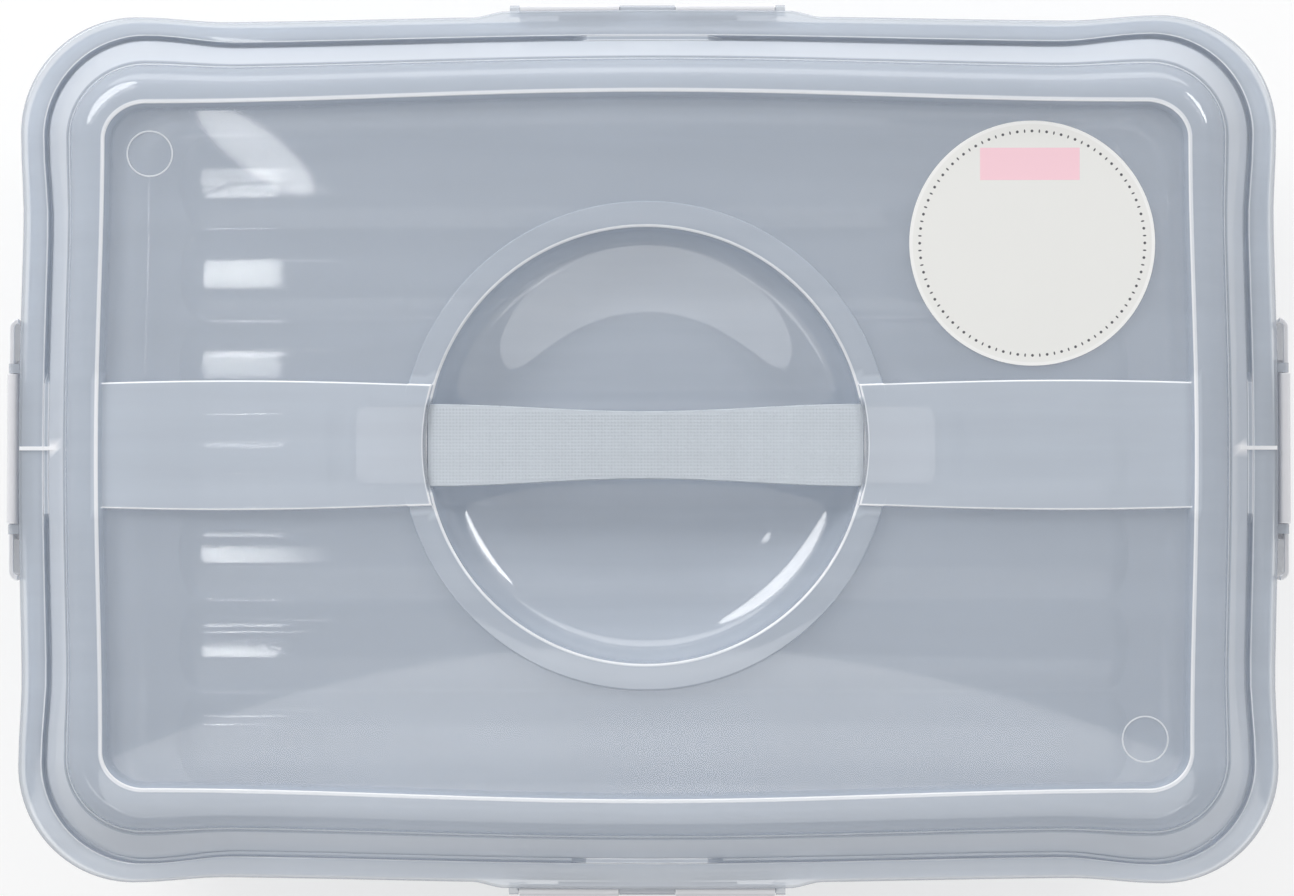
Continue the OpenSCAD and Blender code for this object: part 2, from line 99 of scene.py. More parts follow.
class CarrierLid(bpy.types.PropertyGroup):
    """The lid's section, from its rim to its panel."""

    wall: length("Wall", 1.8, "Wall thickness")
    flange_drop: length("Flange drop", 21.5, "Height of the ridge above the flange")
    panel_drop: length("Panel drop", 5, "Depth of the panel below the ridge")
    flange_width: length("Flange width", 6.8, "Width of the flange along the long sides")
    end_flange_gain: length("End flange gain", 1.8, "Extra width of the flange along the short sides")
    groove_width: length("Groove width", 1.6, "Width of the groove behind the flange")
    groove_depth: length("Groove depth", 5, "Depth of the groove")
    skirt_height: length("Skirt height", 6.5, "Height of the skirt round the tub's rim")
    slope_width: length("Slope width", 7.6, "Width of the sloping band behind the groove")
    step_height: length("Step height", 0.9, "Height of the step above the sloping band")
    shoulder_radius: length("Shoulder radius", 11, "Radius of the round shoulder below the ridge")
    ridge_width: length("Ridge width", 1.3, "Width of the ridge's flat top")
    bridge_length: length("Bridge length", 49, "Length of a bridge across the groove")
    bay_reach: length("Bay reach", 1.9, "How far the flange reaches out over a long side's clip")


class CarrierDish(bpy.types.PropertyGroup):
    """The finger dish, the ring round it and the raised bands beside it."""

    radius: length("Radius", 71.4, "Radius of the dish at its rim")
    flat_radius: length("Flat radius", 40, "Radius of the flat bottom")
    depth: length("Depth", 17, "Depth below the panel")
    ring_width: length("Ring width", 9, "Width of the raised ring")
    ring_height: length("Ring height", 2.5, "Height of the ring above the panel")
    band_width: length("Band width", 40, "Width of a raised band at the dish")
    band_swell: length("Band swell", 3, "How much wider a band is at its widest place")
    band_height: length("Band height", 4, "Height of a band above the panel, at the dish")
    band_end_height: length("Band end height", 2.4, "Height of a band above the panel, at the ridge")
    pocket_length: length("Pocket length", 28, "Length of the pocket for the strap's end")
    mark_radius: length("Mark radius", 7.4, "Radius of a round mould mark on the panel")
    mark_depth: length("Mark depth", 0.25, "Depth of a mould mark")


class CarrierTub(bpy.types.PropertyGroup):
    """The tub's section and the ribs of its floor."""

    wall: length("Wall", 1.8, "Wall thickness")
    floor: length("Floor", 2.2, "Thickness of the floor")
    seat_gap: length("Seat gap", 0.3, "Gap where the lid sits over the rim")
    rim_height: length("Rim height", 5.9, "Height of the upright rim above the lip")
    lip: length("Lip", 2, "Thickness of the lip")
    lean: length("Lean", 11.6, "How far the sides lean in from the lip to the floor")
    fillet: length("Fillet", 10, "Radius between the walls and the floor")
    rib_count: bpy.props.IntProperty(name="Ribs", description="Raised ribs of the floor", default=7)
    rib_pitch: length("Rib pitch", 33.2, "Distance between two ribs")
    rib_width: length("Rib width", 32.4, "Width of a rib")
    rib_length: length("Rib length", 322, "Length of a rib's straight part")
    rib_end: length("Rib end", 8.6, "Length of a rib's round end")
    rib_height: length("Rib height", 1.8, "Height of a rib above the floor")


class CarrierStrap(bpy.types.PropertyGroup):
    """The carrying strap."""

    end_width: length("Width at the slots", 27, "Width of the strap where it enters the slots")
    waist: length("Waist", 22.2, "Width of the strap at its middle")
    thickness: length("Thickness", 1.6, "Thickness of the ends")
    grip_thickness: length("Grip thickness", 2.2, "Thickness of the grip")
    grip_length: length("Grip length", 56, "Length of the grip")
    crown: length("Crown", 1.2, "How far the middle stands above the ends")
    tab_length: length("Tab length", 23.2, "Length of the tab inside a pocket")
    tab_width: length("Tab width", 25, "Width of the tab")
    slot_gap: length("Slot gap", 0.3, "Running gap round the strap in its slot")
    knurl_pitch: length("Knurl pitch", 1.08, "Distance between two knurls of the grip")
    knurl_height: length("Knurl height", 0.24, "Height of a knurl")


class CarrierClip(bpy.types.PropertyGroup):
    """The side clips and the rods that they turn on."""

    clip_length: length("Length", 88, "Length of a clip")
    clip_height: length("Height", 25.2, "Height of a clip below its rod")
    plate: length("Plate", 1.7, "Thickness of a clip's plate")
    rod_radius: length("Rod radius", 0.9, "Radius of a hinge rod")
    rod_clearance: length("Rod clearance", 0.08, "Running clearance round a rod")
    knuckle_radius: length("Knuckle radius", 2, "Outer radius of a knuckle")
    knuckle_gap: length("Knuckle gap", 0.3, "Gap between a knuckle and the rim")
    rod_drop: length("Rod drop", 3.3, "Depth of a rod's middle below the flange")
    long_knuckle: length("Long side's knuckle", 33, "Length of a knuckle on the long sides")
    middle_lug: length("Middle lug", 18.4, "Width of the lug between two knuckles")
    short_knuckle: length("Short side's knuckle", 50, "Length of the knuckle on the short sides")
    end_lug: length("End lug", 3.2, "Width of a lug at the end of a rod")
    hook_length: length("Hook length", 60, "Length of the hook inside a clip")
    short_lip: length("Finger lip", 0.8, "Reach of the finger lip on the short sides")


class CarrierLabel(bpy.types.PropertyGroup):
    """The round label and its print."""

    radius: length("Radius", 40.2, "Radius of the label")
    thickness: length("Thickness", 0.2, "Thickness of the label")
    end_distance: length("End distance", 83.4, "Distance of its middle from the lid's right end")
    side_distance: length("Side distance", 78.5, "Distance of its middle from the lid's back side")
    dot_ring: length("Dot ring", 36.8, "Radius of the ring of dots")
    dot_count: bpy.props.IntProperty(name="Dots", description="Dots in the ring", default=96)
    border: length("Border", 39.1, "Radius at which the paler border starts")
    field_length: length("Field length", 32.6, "Length of the bare field")
    field_width: length("Field width", 10.6, "Width of the bare field")
    field_aside: length("Field aside", 0.7, "Distance of the bare field's middle to the left")
    field_back: length("Field back", 26, "Distance of the bare field's middle to the back")


class CarrierFinish(bpy.types.PropertyGroup):
    """Colours and finishes."""

    lid_colour: colour("Lid", (0.625, 0.69, 0.785), "Colour of the lid")
    lid_cover: share("Lid cover", 0.3, "How much one face of the lid hides")
    tub_colour: colour("Tub", (0.545, 0.62, 0.72), "Colour of the tub")
    tub_cover: share("Tub cover", 0.7, "How much one face of the tub hides")
    clip_colour: colour("Clips", (0.76, 0.76, 0.80), "Colour of the clips")
    clip_cover: share("Clip cover", 0.8, "How much one face of a clip hides")
    strap_colour: colour("Strap", (0.58, 0.63, 0.69), "Colour of the strap")
    strap_cover: share("Strap cover", 0.92, "How much one face of the strap hides")
    # Painted highlight: this colour is laid over the plastic where edges stand out.
    painted_highlight_colour: colour("Edges", (0.93, 0.94, 0.97), "Colour of the plastic's bright edges")
    label_colour: colour("Label", (0.82, 0.82, 0.80), "Colour of the label's paper")
    label_border: colour("Label border", (0.88, 0.88, 0.87), "Colour of the label's border")
    label_field: colour("Label field", (0.93, 0.62, 0.69), "Colour of the bare field on the label")
    label_ink: colour("Label marks", (0.07, 0.07, 0.08), "Colour of the ring of marks")
    floor_colour: colour("Floor", (0.95, 0.95, 0.95), "Colour of the studio's floor")


GROUPS = {
    "carrier_rim": CarrierRim,
    "carrier_lid": CarrierLid,
    "carrier_dish": CarrierDish,
    "carrier_tub": CarrierTub,
    "carrier_strap": CarrierStrap,
    "carrier_clip": CarrierClip,
    "carrier_label": CarrierLabel,
    "carrier_finish": CarrierFinish,
}


# Heights and insets that follow from the settings

EDGE = 0.4 * MM
POCKET_SIDE = 0.7 * MM
TUB_GAP = 1.6 * MM
LIP_INSET = 0.3 * MM
LUG_GAP = 0.3 * MM
MARK_END_DISTANCE, MARK_SIDE_DISTANCE = 46.9 * MM, 48.7 * MM


class Places:
    """Heights above the table and insets from the rim, worked out from the settings."""

    def __init__(self, scene):
        rim, lid, tub = scene.carrier_rim, scene.carrier_lid, scene.carrier_tub
        dish, strap, clip = scene.carrier_dish, scene.carrier_strap, scene.carrier_clip
        self.ridge_z = rim.total_height
        self.panel_z = self.ridge_z - lid.panel_drop
        self.flange_z = self.ridge_z - lid.flange_drop
        self.tub_rim_z = self.flange_z - lid.wall - tub.seat_gap
        self.lip_top_z = self.tub_rim_z - tub.rim_height
        self.lip_under_z = self.lip_top_z - tub.lip
        self.rod_z = self.flange_z - clip.rod_drop
        self.step_z = self.ridge_z - lid.shoulder_radius - lid.step_height
        self.ring_z = self.panel_z + dish.ring_height
        self.strap_z = self.panel_z + strap.slot_gap + strap.thickness / 2
        self.groove_inner = lid.flange_width + lid.groove_width
        self.step = self.groove_inner + lid.slope_width
        self.ridge_outer = self.step + 0.6 * MM + lid.shoulder_radius
        self.ridge_inner = self.ridge_outer + lid.ridge_width
        self.panel = self.ridge_inner + 2.2 * MM
        self.tub_outer = lid.wall + TUB_GAP
        self.tub_inner = self.tub_outer + tub.wall
        self.plug_outer = self.tub_inner + tub.seat_gap
        self.plug_inner = self.groove_inner + lid.wall
        self.plug_z = self.flange_z - lid.groove_depth - lid.wall
        self.rod_u = clip.knuckle_radius + clip.knuckle_gap
        self.lean_angle = math.atan(tub.lean / (self.lip_under_z - tub.floor))
        self.pocket_half = strap.end_width / 2 + POCKET_SIDE
        self.pocket_end = dish.radius + dish.pocket_length
        self.reach = dish.radius - 0.2 * MM


# Curves and surfaces


def arc(centre, radii, start, end, steps):
    """Points of an ellipse's stretch: its centre plus its radii times the cosine and sine of the angle."""
    angle = np.radians(np.linspace(start, end, steps + 1))
    return np.stack([centre[0] + radii[0] * np.cos(angle), centre[1] + radii[1] * np.sin(angle)], -1)


def round_off(distance, radius):
    """How far a round edge falls at a distance from it: along a quarter circle, and not at all past it."""
    return radius - np.sqrt(np.clip(radius**2 - np.clip(radius - distance, 0, None) ** 2, 0, None))


def rounded(corners, radius, steps=4, closed=True):
    """A polygon with round corners: each corner becomes the quadratic curve that leaves and reaches its two
    sides at the radius from it, or at half a side's length where that is shorter."""
    p = np.asarray(corners, float)
    r = np.broadcast_to(np.asarray(radius, float), len(p))
    before, after = np.roll(p, 1, 0) - p, np.roll(p, -1, 0) - p
    reach_before = np.minimum(r, np.linalg.norm(before, axis=1) * 0.49)
    reach_after = np.minimum(r, np.linalg.norm(after, axis=1) * 0.49)
    start = p + before / np.linalg.norm(before, axis=1)[:, None] * reach_before[:, None]
    end = p + after / np.linalg.norm(after, axis=1)[:, None] * reach_after[:, None]
    t = np.linspace(0, 1, steps + 1)[None, :, None]
    curve = (1 - t) ** 2 * start[:, None] + 2 * t * (1 - t) * p[:, None] + t**2 * end[:, None]
    if not closed:
        curve = curve[1:-1]
        return np.concatenate([p[:1], curve.reshape(-1, 2), p[-1:]])
    return curve.reshape(-1, 2)


def side_offset(place, end, bow, ear, ear_length):
    """Distance of a side from the straight line through its middle: minus a cosine bow, plus a cosine swell
    that starts one ear length before the side's end."""
    swell = np.clip((place - end + ear_length) / ear_length, 0, 1)
    return -bow * (1 - np.cos(np.pi * place / end)) / 2 + ear * (1 - np.cos(np.pi * swell)) / 2


LONG, CORNER, SHORT = 0, 1, 2


def outline(scene, inset, zone, t):
    """A quarter of the rim's outline at each inset, as x and y arrays of insets by points. On a long side x
    is a sine of t, in a corner the point turns on an ellipse, and on a short side y is a cosine of t."""
    rim, lid = scene.carrier_rim, scene.carrier_lid
    places = Places(scene)
    d = np.asarray(inset, float)
    d = d[:, None] if d.ndim == 1 else d
    a = rim.rim_length / 2 - d - lid.end_flange_gain * np.clip(d / lid.flange_width, 0, 1)
    b = rim.rim_width / 2 - d
    r = rim.corner_radius - rim.corner_shrink * d
    share_of_ear = np.interp(d, [0, 8 * MM, 17 * MM, 27 * MM], [0.68, 1, 0.4, 0])
    bow = rim.long_bow + rim.panel_bow_gain * np.clip(d / places.panel, None, 1)
    long_ear, short_ear = rim.long_ear * share_of_ear, rim.short_ear * share_of_ear
    xs, ys = a - r, b - r
    xe, ye = a - rim.short_bow + short_ear, b - bow + long_ear
    sine, cosine = np.sin(np.pi / 2 * t), np.cos(np.pi / 2 * t)
    long_x, short_y = xs * sine, ys * cosine
    x = np.select(
        [zone == LONG, zone == CORNER],
        [long_x, xs + (xe - xs) * sine],
        a + side_offset(short_y, ys, rim.short_bow, short_ear, rim.ear_length),
    )
    y = np.select(
        [zone == LONG, zone == CORNER],
        [b + side_offset(long_x, xs, bow, long_ear, rim.ear_length), ys + (ye - ys) * cosine],
        short_y,
    )
    return np.where(np.abs(x) < 1e-9, 0, x), np.where(np.abs(y) < 1e-9, 0, y)


def end_x(scene, inset, y):
    """X of the short side at an inset, for given places along it."""
    rim, lid = scene.carrier_rim, scene.carrier_lid
    a = rim.rim_length / 2 - inset - lid.end_flange_gain * np.clip(inset / lid.flange_width, 0, 1)
    ys = rim.rim_width / 2 - inset - (rim.corner_radius - rim.corner_shrink * inset)
    return a + side_offset(y, ys, rim.short_bow, 0, rim.ear_length)


SHARP = 35


class Shell:
    """Collects grids of points and their quads, and makes them one closed mesh."""

    def __init__(self):
        self.points, self.quads, self.loose, self.count = [], [], [], 0

    def grid(self, points, closed=False):
        """Adds a grid of rows by columns of points, closed along its columns if asked."""
        rows, columns = points.shape[:2]
        r = np.arange(rows - 1)[:, None]
        c = np.arange(columns if closed else columns - 1)[None, :]
        n = (c + 1) % columns
        low, high = r * columns, (r + 1) * columns
        quads = np.stack([low + c, low + n, high + n, high + c], -1)
        self.points.append(points.reshape(-1, 3))
        self.quads.append(quads.reshape(-1, 4) + self.count)
        self.count += rows * columns

    def bar(self, rings):
        """Adds a closed bar through rings of points, with its two ends as single faces."""
        rows, columns = rings.shape[:2]
        first = self.count
        self.grid(rings, closed=True)
        self.loose.append(list(range(first, first + columns)))
        self.loose.append(list(range(first + (rows - 1) * columns, first + rows * columns)))

    def quarters(self):
        """Repeats what a shell holds in the other three quarters, mirrored in X and in Y."""
        points, quads, count = np.concatenate(self.points), np.concatenate(self.quads), self.count
        signs = np.array([[1, 1, 1], [-1, 1, 1], [-1, -1, 1], [1, -1, 1]], float)
        self.points = [points * sign for sign in signs]
        turned = [quads if sign.prod() > 0 else quads[:, ::-1] for sign in signs]
        self.quads = [quarter + i * count for i, quarter in enumerate(turned)]
        self.count = 4 * count

    def made(self, name, sharp=SHARP):
        """The mesh object: its doubles merged, its faces turned outwards and its sharp edges marked."""
        mesh = bpy.data.meshes.new(name)
        faces = np.concatenate(self.quads).tolist() + self.loose
        mesh.from_pydata(np.concatenate(self.points).tolist(), [], faces)
        finish_mesh(mesh, sharp, 2e-6)
        piece = bpy.data.objects.new(name, mesh)
        bpy.context.scene.collection.objects.link(piece)
        return piece


def finish_mesh(mesh, sharp=SHARP, join=1e-6):
    """Merges doubles, drops faces with no area, turns the faces outwards and shades them smooth up to an
    angle."""
    work = bmesh.new()
    work.from_mesh(mesh)
    bmesh.ops.remove_doubles(work, verts=work.verts, dist=join)
    bmesh.ops.dissolve_degenerate(work, edges=work.edges, dist=1e-7)
    bmesh.ops.recalc_face_normals(work, faces=work.faces)
    if work.calc_volume(signed=True) < 0:
        bmesh.ops.reverse_faces(work, faces=work.faces)
    work.to_mesh(mesh)
    work.free()
    mesh.polygons.foreach_set("use_smooth", np.ones(len(mesh.polygons), bool))
    mesh.set_sharp_from_angle(angle=math.radians(sharp))


def weighted(piece):
    """Lets large faces set the shading at rounded edges."""
    modifier = piece.modifiers.new("Weighted normals", "WEIGHTED_NORMAL")
    modifier.keep_sharp = True
    modifier.weight = 60
    return piece


def combined(piece, others, operation):
    """Cuts other closed meshes out of a piece, or makes them one with it, and removes them."""
    for other in others:
        modifier = piece.modifiers.new(operation, "BOOLEAN")
        modifier.operation, modifier.solver, modifier.object = operation, "MANIFOLD", other
    evaluated = piece.evaluated_get(bpy.context.evaluated_depsgraph_get())
    piece.modifiers.clear()
    piece.data = bpy.data.meshes.new_from_object(evaluated)
    for other in others:
        bpy.data.objects.remove(other)
    piece.data.name = piece.name
    finish_mesh(piece.data)
    return piece


def level(x, y, z):
    """Stacks x and y arrays with a height for each row, or for each point."""
    z = np.broadcast_to(np.asarray(z, float)[:, None] if np.ndim(z) == 1 else z, x.shape)
    return np.stack([x, y, z], -1)


# The lid

BAND_EDGE = np.array([0.9, 0.6, 0.36, 0.18, 0.08, 0.0]) * MM
BAND_RISE = np.array([1.0, 0.985, 0.92, 0.76, 0.42, 0.0])
BAND_ROWS = 7
CORNER_POINTS = 26
END_POINTS = 10
BAY_START, BAY_END = 46 * MM, 57.5 * MM


class LidSkin:
    """One of the lid's two skins: the top one, or the one below it, a wall further in."""

    def __init__(self, scene, under):
        lid, dish = scene.carrier_lid, scene.carrier_dish
        self.scene, self.under, self.places = scene, under, Places(scene)
        p, self.wall = self.places, lid.wall if under else 0.0
        self.band_end = scene.carrier_rim.rim_length / 2 - lid.end_flange_gain - p.ridge_inner - EDGE
        centre = (p.ridge_outer, p.ridge_z - lid.shoulder_radius - 0.1 * MM)
        radius = lid.shoulder_radius - self.wall
        if under:
            self.rim = np.concatenate([
                [[p.panel - 0.9 * MM, p.panel_z - lid.wall]],
                arc(centre, (radius, radius), 80, 180, 12),
                [
                    [p.step + lid.wall, p.step_z - lid.wall / 2],
                    [p.plug_inner + 0.5 * MM, p.flange_z - lid.wall / 3],
                    [p.plug_inner, p.flange_z - lid.wall],
                    [p.plug_inner, p.plug_z + EDGE],
                    [p.plug_inner - EDGE, p.plug_z],
                    [p.plug_outer + EDGE, p.plug_z],
                    [p.plug_outer, p.plug_z + EDGE],
                    [p.plug_outer, p.flange_z - lid.wall],
                    [lid.wall, p.flange_z - lid.wall],
                    [lid.wall, p.flange_z - lid.skirt_height],
                ],
            ])
            self.ring = np.array([
                [dish.radius + 2 * MM, p.ring_z - lid.wall],
                [dish.radius + 5 * MM, p.ring_z - lid.wall],
                [dish.radius + dish.ring_width - lid.wall - 0.3 * MM, p.ring_z - lid.wall],
                [dish.radius + dish.ring_width - lid.wall, p.panel_z - lid.wall],
            ])
            rise, wall_top = dish.depth - 1 * MM + lid.wall, dish.radius - 0.5 * MM + lid.wall
            middle = (dish.flat_radius, p.panel_z - 1 * MM)
            bowl = arc(middle, (wall_top - dish.flat_radius, rise), -90, 0, 14)
            self.bowl = np.concatenate([[[0, bowl[0, 1]], [20 * MM, bowl[0, 1]]], bowl, self.ring[:1]])
        else:
            foot = [[p.panel, p.panel_z], [p.ridge_inner + 0.75 * MM, p.ridge_z - 1.4 * MM]]
            lip = arc((p.ridge_inner - 0.1 * MM, p.ridge_z - 0.7 * MM), (0.6 * MM, 0.7 * MM), 15, 90, 4)
            edge = lid.flange_width
            round_edge = arc((1.3 * MM, p.flange_z - 1.3 * MM), (1.3 * MM, 1.3 * MM), 90, 180, 5)
            self.rim = np.concatenate([
                foot,
                lip,
                [
                    [p.ridge_inner - 0.65 * MM, p.ridge_z],
                    [p.ridge_inner - 0.95 * MM, p.ridge_z - 0.08 * MM],
                ],
                arc(centre, (radius, radius), 90, 172, 16),
                [
                    [p.step + 0.55 * MM, p.step_z + 0.75 * MM],
                    [p.step + 0.3 * MM, p.step_z + 0.25 * MM],
                    [p.step - 0.2 * MM, p.step_z - 0.15 * MM],
                    [p.step - 1.0 * MM, p.step_z - 1.05 * MM],
                    [p.groove_inner + 1.5 * MM, p.flange_z + 1.9 * MM],
                    [p.groove_inner + 0.75 * MM, p.flange_z + 0.95 * MM],
                    [p.groove_inner + 0.25 * MM, p.flange_z + 0.2 * MM],
                    [p.groove_inner, p.flange_z - 0.8 * MM],
                    [p.groove_inner, p.flange_z - lid.groove_depth + EDGE],
                    [p.groove_inner - EDGE, p.flange_z - lid.groove_depth],
                    [edge + EDGE, p.flange_z - lid.groove_depth],
                    [edge, p.flange_z - lid.groove_depth + EDGE],
                    [edge, p.flange_z - 0.5 * MM],
                    [edge - 0.15 * MM, p.flange_z - 0.15 * MM],
                    [edge - 0.5 * MM, p.flange_z],
                ],
                round_edge,
                [
                    [0, p.rod_z + scene.carrier_clip.knuckle_radius + scene.carrier_clip.knuckle_gap],
                    [0, p.flange_z - lid.skirt_height + EDGE],
                    [EDGE, p.flange_z - lid.skirt_height],
                    [lid.wall, p.flange_z - lid.skirt_height],
                ],
            ])
            # The bay takes the round edge outwards, and the bridges fill the groove's bottom points. The
            # last ten points, on the round edge and down the skirt, aren't in the groove.
            self.bay = np.zeros(len(self.rim))
            self.bay[-4 - len(round_edge):-4] = 1
            self.fill = np.isclose(self.rim[:, 1], p.flange_z - lid.groove_depth, atol=1.1 * EDGE)
            self.fill[-10:] = False
            ring_outer = dish.radius + dish.ring_width
            top = [0.9, 0.95, 1.05, 1.25, 1.5, 1.8]
            self.ring = np.concatenate([
                [[dish.radius + r * MM, p.ring_z] for r in top],
                [[dish.radius + 4 * MM, p.ring_z], [ring_outer - 1.1 * MM, p.ring_z]],
                [
                    [ring_outer - 0.7 * MM, p.ring_z - 0.08 * MM],
                    [ring_outer - 0.4 * MM, p.ring_z - 0.4 * MM],
                    [ring_outer - 0.15 * MM, p.ring_z - 1.3 * MM],
                    [ring_outer, p.panel_z],
                ],
            ])
            rise, wall_top = dish.depth - 1 * MM, dish.radius - 0.5 * MM
            middle = (dish.flat_radius, p.panel_z - 1 * MM)
            bowl = arc(middle, (wall_top - dish.flat_radius, rise), -90, 0, 24)
            lip = arc((dish.radius + 0.9 * MM, p.ring_z - 0.8 * MM), (0.9 * MM, 0.8 * MM), 180, 90, 5)
            flat = [[x * MM, bowl[0, 1]] for x in (0, 10, 20, 30)]
            self.bowl = np.concatenate([flat, bowl, lip])
        self.loop()
        self.columns()

    def half(self, x):
        """Half of the band's width at x: a sine swell between the dish and the ridge."""
        dish = self.scene.carrier_dish
        share_along = (x - dish.radius) / (self.band_end - dish.radius)
        return dish.band_width / 2 + dish.band_swell / 2 * np.sin(np.radians(150) * share_along) - self.wall

    def top(self, x):
        """Height of the band's top at x: it falls evenly from the dish to the ridge. Below the pocket the
        under skin stays flat."""
        dish, p = self.scene.carrier_dish, self.places
        fall = (dish.band_height - dish.band_end_height) / (self.band_end - dish.radius)
        z = p.panel_z + dish.band_height - fall * (x - dish.radius) - self.wall
        if not self.under:
            return z
        share_up = np.clip((x - p.pocket_end - 2 * MM) / (1.5 * MM), 0, 1)
        return p.panel_z - self.wall + (z - p.panel_z + self.wall) * share_up

    def loop(self):
        """The places round a quarter of the outline: across the band's end, up the short side, round the
        corner and along the long side to its middle."""
        scene, p, rim = self.scene, self.places, self.scene.carrier_rim
        end_half = self.half(self.band_end)
        inner = np.linspace(0, end_half - BAND_EDGE[0], BAND_ROWS)
        self.edge_distance = np.concatenate([np.full(BAND_ROWS - 1, np.nan), BAND_EDGE])
        self.row_share = np.concatenate([
            np.linspace(0, 1, BAND_ROWS)[:-1], np.full(len(BAND_EDGE), np.nan),
        ])
        self.rise = np.concatenate([np.ones(BAND_ROWS - 1), BAND_RISE])
        rows_y = np.concatenate([inner[:-1], end_half - BAND_EDGE])
        foot = self.rim[0, 0]
        corner = rim.corner_radius - rim.corner_shrink * foot
        ys = rim.rim_width / 2 - foot - corner
        xs = rim.rim_length / 2 - scene.carrier_lid.end_flange_gain - foot - corner
        gate = scene.carrier_lid.bridge_length / 2
        short_y = np.concatenate([
            rows_y, [gate - 0.05 * MM, gate + 0.05 * MM], np.linspace(gate + 3 * MM, ys, END_POINTS),
        ])
        short_t = np.degrees(np.arccos(np.clip(short_y / ys, -1, 1))) / 90
        long_x = np.concatenate([
            np.linspace(0, gate - 0.05 * MM, 6), np.linspace(gate + 0.05 * MM, BAY_START, 6),
            np.linspace(BAY_START, BAY_END, 7)[1:], np.linspace(BAY_END, xs, 24)[1:],
        ])
        long_t = np.degrees(np.arcsin(np.clip(long_x / xs, 0, 1))) / 90
        corner_t = np.linspace(0, 1, CORNER_POINTS)
        self.zone = np.concatenate([
            np.full(len(short_t), SHORT), np.full(CORNER_POINTS - 2, CORNER), np.full(len(long_t), LONG),
        ])
        self.t = np.concatenate([short_t, corner_t[-2:0:-1], long_t[::-1]])
        self.rows = len(rows_y)
        self.gate_x, self.gate_y = outline(scene, np.array([p.groove_inner]), self.zone, self.t)

    def columns(self):
        """The places along the band's edge: across the ring on its circles, then over the panel. Each is
        where the edge meets a circle, or a line that turns from the ring's circle into the ridge's foot."""
        scene, r = self.scene, self.ring[:, 0]
        x = r.copy()
        for _ in range(6):
            x = np.sqrt(r**2 - self.half(x) ** 2)
        self.ring_edge = np.stack([x, self.half(x)], -1)
        steps = 1 - (1 - np.linspace(0, 1, 15)) ** 1.15
        if self.under:
            start = self.ring_edge[-1, 0]
            span = end_x(scene, self.rim[0, 0], self.half(self.band_end)) - start
            near = (self.places.pocket_end + np.array([1.9, 2.3, 2.8, 3.3, 3.6]) * MM - start) / span
            steps = np.sort(np.concatenate([steps[steps > near[-1] + 0.02], [0, near[0] / 2], near]))
        self.steps = steps
        edge = np.interp(steps, [0, 1], [self.ring_edge[-1, 0], self.band_end])
        for _ in range(6):
            y = self.half(edge)
            edge = (1 - steps) * np.sqrt(r[-1] ** 2 - y**2) + steps * end_x(scene, self.rim[0, 0], y)
        self.panel_edge = np.stack([edge, self.half(edge)], -1)
        self.panel_edge[0] = self.ring_edge[-1]

    def band(self):
        """The band as a grid of columns by rows: its rows keep their share of the width inside and their
        distance from the edge near it, and its height is the base plus the rise along the columns and
        across the rows."""
        scene, p = self.scene, self.places
        edge = np.concatenate([self.ring_edge[:-1], self.panel_edge])
        inner = edge[:, 1:] - BAND_EDGE[0]
        y = np.where(np.isnan(self.edge_distance), inner * self.row_share, edge[:, 1:] - self.edge_distance)
        ring_count = len(self.ring)
        base = np.concatenate([self.ring[:-1, 1], np.full(len(self.steps), self.ring[-1, 1])])
        top = self.top(edge[:, :1])
        start = np.ones(len(edge))
        if not self.under:
            start[:6] = [0, 0.4, 0.75, 0.92, 0.985, 1]
        z = base[:, None] + (top - base[:, None]) * self.rise * start[:, None]
        x = np.empty_like(y)
        x[:ring_count] = np.sqrt(self.ring[:, :1] ** 2 - y[:ring_count] ** 2)
        (d0, z0), (d1, z1) = self.rim[:2]
        end_inset = d0 + (d1 - d0) * (z[-1] - z0) / (z1 - z0)
        t = self.steps[:, None]
        over = y[ring_count - 1:]
        circle = np.sqrt(self.ring[-1, 0] ** 2 - over**2)
        x[ring_count - 1:] = (1 - t) * circle + t * end_x(scene, end_inset, over)
        grid = np.stack([x, y, z], -1)
        grid[:, -1, :2] = edge
        return grid

    def build(self, shell):
        """Adds this skin's quarter to a shell."""
        scene, p, rows = self.scene, self.places, self.rows
        band = self.band()
        shell.grid(band)
        d, z = self.rim[:, 0], self.rim[:, 1]
        inset, height = d[:, None] + 0 * self.t, z[:, None] + 0 * self.t
        if not self.under:
            bay = np.clip((BAY_END - self.gate_x) / (BAY_END - BAY_START), 0, 1) * (self.zone == LONG)
            bay = bay * bay * (3 - 2 * bay)
            inset = inset - self.bay[:, None] * bay * scene.carrier_lid.bay_reach
            height = height + self.bay[:, None] * bay * (p.flange_z - height) * 0.24
            gate = scene.carrier_lid.bridge_length / 2
            long_gate = (self.zone == LONG) & (self.gate_x < gate)
            short_gate = (self.zone == SHORT) & (self.gate_y < gate)
            filled = self.fill[:, None] * (long_gate | short_gate)
            height = height + filled * (p.flange_z - 0.35 * MM - height)
        x, y = outline(scene, inset, self.zone, self.t)
        ring = np.stack([x, y, height], -1)
        ring[0, :rows] = band[-1]
        shell.grid(ring)
